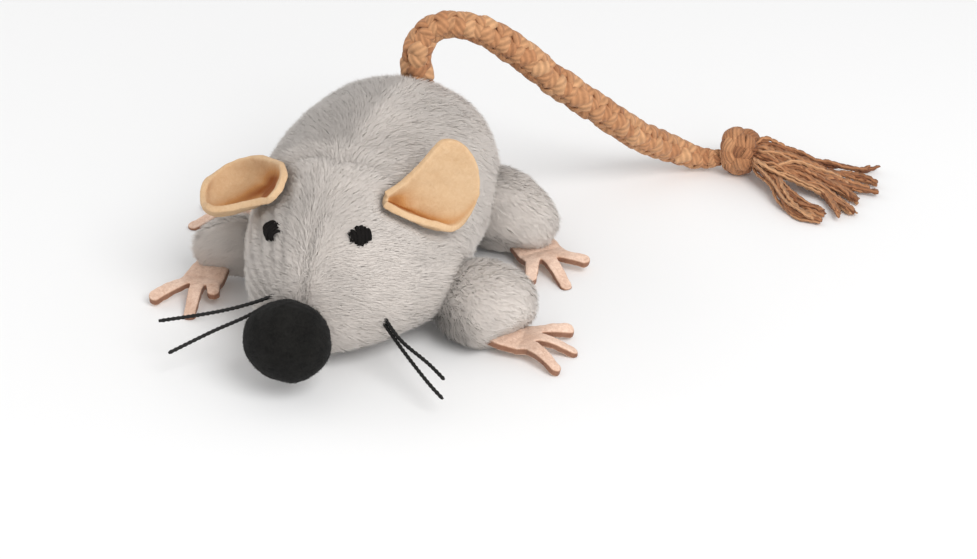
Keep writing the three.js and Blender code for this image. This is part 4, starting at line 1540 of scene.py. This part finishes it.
def notes_of(tree, name):
    """The separate numbers of the notes that a piece carries on its points."""
    noted = add(tree, "Attribute", {}, attribute_name=name)["Color"]
    return add(tree, "SeparateColor", {"Color": noted})


def grained(name, size, contrast, dark, light, bump, notes=None, tints=(), **settings):
    """A fibrous material: the shared grain as colour and as bump, tinted where the piece's notes say so."""
    material, tree, shader = plain_material(name, **settings)
    feeds = {"Size": size, "Contrast": contrast, "Dark": dark, "Light": light}
    fibres = add(tree, "Group", feeds, node_tree=grain)
    colour = fibres["Colour"]
    for channel, stops in tints:
        colour = scaled(tree, colour, ramp(tree, stops, notes_of(tree, notes)[channel]))
    feed_all(tree, shader, {"Base Color": colour, "Normal": bumped(tree, fibres["Height"], bump)})
    return material


def cover(pieces, material):
    """Gives pieces this one material."""
    for piece in pieces:
        piece.data.materials.clear()
        piece.data.materials.append(material)
    print(material.name, "is on", len(pieces), "pieces")


print("materials can be made")

# %% Felt and suede
plain = (1, 1, 1, 1)
ear_felt = grained(
    "ear_felt", 1.3 * mm, 1.8, srgb(196, 158, 118), srgb(220, 191, 156), 0.18 * mm, notes="fold",
    # Red paints shade into the fold and the sewn corner; Green keeps the felt a little paler near its cut
    # edge.
    tints=[
        ("Red", [(0, plain), (0.5, (0.8, 0.56, 0.34, 1)), (1, (0.42, 0.17, 0.05, 1))]),
        ("Green", [(0, (0.93, 0.93, 0.93, 1)), (1, plain)]),
    ],
    roughness=0.95, sheen=0.05, specular=0.08,
)
paw_suede = grained(
    "paw_suede", 1 * mm, 2.8, srgb(196, 156, 132), srgb(248, 220, 200), 0.2 * mm, notes="cut",
    # Red darkens the suede's sides: painted shade.
    tints=[("Red", [(0, plain), (0.5, (0.8, 0.72, 0.66, 1)), (1, (0.36, 0.25, 0.2, 1))])],
    roughness=0.9, sheen=0.15, specular=0.15,
)
nose_wool = grained(
    "nose_wool", 0.8 * mm, 2.4, srgb(11, 11, 11), srgb(36, 35, 33), 0.25 * mm,
    roughness=0.95, sheen=0.04, specular=0.12,
)
cover(ears.values(), ear_felt)
cover(paws.values(), paw_suede)
cover([nose], nose_wool)

# %% [markdown]
# ## Plush, thread and braid
#
# The pile's colour comes from the notes that its fibres carry: a little paler at the root than at the tip,
# which is painted light against the shade deep in the pile; lighter or darker from fibre to fibre; darker in
# the seams, furrows and crevices, and on the body's right side, which is painted shade; and with slow changes
# of tone over the cloth. The braid's colour follows its yarns, with darker lines between them and fine
# stripes along them; the darkest colour, on the core between the strands, is painted shade.

# %% The plush
plush_material, tree, shader = plain_material("mouse_plush", 0.85, sheen=0.3, specular=0.1)
noted = notes_of(tree, "pile")
# Painted light: the roots are paler than the tips, to make up for the shade deep in the pile.
paler_roots_painted_light = [(0, srgb(238, 230, 224)), (0.45, srgb(228, 220, 213)), (1, srgb(226, 218, 211))]
# Green is the fibre's shade note: random from fibre to fibre, with painted shade in the seams, furrows and
# leg crevices. Blue is its tone: slow random changes, with painted shade on the body's right side.
lit = scaled(tree, ramp(tree, paler_roots_painted_light, noted["Red"]), between(tree, noted["Green"], 0.4, 1.06))
toned = scaled(tree, lit, between(tree, noted["Blue"], 0.66, 1.12))
tree.links.new(toned, shader.inputs["Base Color"])
cover([body, head, *legs.values()], plush_material)

# %% The braid
braid_material, tree, shader = plain_material("braided_jute", 0.8, sheen=0.1, specular=0.2)
noted = notes_of(tree, "yarn")
yarn_tones = [
    (0, srgb(122, 72, 46)), (0.3, srgb(184, 130, 91)), (0.7, srgb(216, 170, 127)), (1, srgb(230, 190, 150)),
]
where = add(tree, "TexCoord", {})["Object"]
fine = add(tree, "TexNoise", {"Vector": where, "Scale": 1 / (1.6 * mm), "Detail": 3})["Fac"]
by_yarn = scaled(tree, ramp(tree, yarn_tones, noted["Blue"]), between(tree, fine, 0.66, 1.3))
along = add(tree, "Math", {0: noted["Red"], 1: 6}, operation="MULTIPLY")[0]
on_yarn = add(tree, "CombineXYZ", {"X": noted["Green"], "Y": along})[0]
bands = {"Vector": on_yarn, "Scale": 0.95, "Distortion": 1}
stripes = add(tree, "TexWave", bands, wave_type="BANDS", bands_direction="X")["Fac"]
striped = scaled(tree, by_yarn, between(tree, stripes, 0.78, 1.05))
feed_all(tree, shader, {"Base Color": striped, "Normal": bumped(tree, stripes, 0.25 * mm)})
cover([tail, knot, tassel], braid_material)

# %% The threads
whisker_thread = grained(
    "waxed_thread", 0.5 * mm, 1.6, srgb(10, 9, 9), srgb(30, 28, 27), 0.08 * mm, roughness=0.6, specular=0.3
)
eye_thread = grained(
    "eye_thread", 0.6 * mm, 1.8, srgb(12, 11, 11), srgb(34, 31, 30), 0.12 * mm, roughness=0.9, specular=0.1
)
cover([whisker for whisker, _ in whiskers.values()], whisker_thread)
cover(eyes.values(), eye_thread)

# %% [markdown]
# ## What each piece rides on
#
# Each piece takes the place of its plain solids, and every piece but the leg stubs is tied to the body it
# moves with.


def declare(piece, body_name, slot_name, *nodes):
    """Ties a piece to its body and puts it in place of its plain solids. The slot name given is not used."""
    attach(piece, body_name)
    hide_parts(*nodes)


declare(body, "trunk", "fur", "body_cover", "body_filling")
declare(head, "trunk", "fur", "head_cover", "head_filling")
declare(nose, "trunk", "nose_felt", "nose")
for name, eye in eyes.items():
    declare(eye, "trunk", "thread", name)
declare(knot, "trunk", "braid", "tail_knot")
declare(tassel, "trunk", "braid", "tail_tassel")
declare(tail, "trunk", "braid", "tail_cord")
for name, ear in ears.items():
    declare(ear, name + "_flap", "ear_felt", name)
for name, leg in legs.items():
    way = leg_frame(name)[3]
    joint = next(j for j in frame["joints"] if j["name"] == name + "_hip")
    hip = np.array(joint["pos_m"])
    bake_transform(leg)
    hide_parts(name + "_leg", name + "_filling")
    declare(paws[name], name + "_limb", "paw_leather", name + "_paw")

length_of(cord_path)
for name, (whisker, path) in whiskers.items():
    declare(whisker, "trunk", "thread", name)
    # A whisker comes out of the cheek at the second point of its route.
    exit_place = np.array(whisker_routes[name][1]) * mm
    length_of(path)
    [tuple(p) for p in path[::3]]
print("cords declared:", 1 + len(whiskers))

# %% [markdown]
# ## The table and the light
#
# A plain white sheet and a wide bright sky of studio white, with one large lamp above the mouse's left
# shoulder and two weaker ones, lower, in front and behind. Large lamps near a small object give the soft
# shadows of the photograph.

# %% Floor, lamps and sky
bpy.ops.object.select_all(action="DESELECT")
bpy.ops.mesh.primitive_circle_add(vertices=96, radius=4, fill_type="NGON")
floor = bpy.context.object
floor.name = floor.data.name = "floor_sheet"
floor_material, tree, shader = plain_material("white_sheet", 0.9, specular=0.1)
shader.inputs["Base Color"].default_value = (0.9, 0.9, 0.9, 1)
floor.data.materials.append(floor_material)
floor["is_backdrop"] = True
lamp_aim = Vector((0, 0, 0.02))


def lamp(name, place, size, power):
    data = bpy.data.lights.new(name, "AREA")
    data.shape = "DISK"
    data.size = size
    data.energy = power
    made = bpy.data.objects.new(name, data)
    bpy.context.collection.objects.link(made)
    made.location = place
    made.rotation_euler = (lamp_aim - Vector(place)).to_track_quat("-Z", "Y").to_euler()


lamp("key_lamp", (0.72, -0.55, 0.95), 0.75, 9.3)
lamp("fill_lamp", (0.75, -0.85, 0.3), 0.7, 2.2)
lamp("back_lamp", (-0.9, 0.1, 0.3), 0.7, 1.8)
sky = bpy.data.worlds.new("studio_white")
bpy.context.scene.world = sky
sky.use_nodes = True
feed_all(sky.node_tree, sky.node_tree.nodes["Background"], {"Color": (1, 1, 1, 1), "Strength": 0.66})
bpy.context.scene.view_settings.view_transform = "Standard"
print("lights are on")

# %% Gather both boxes and finish
boxes = {"cad": cad_box, "visual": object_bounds()}
{key: [list(map(float, corner)) for corner in box] for key, box in boxes.items()}
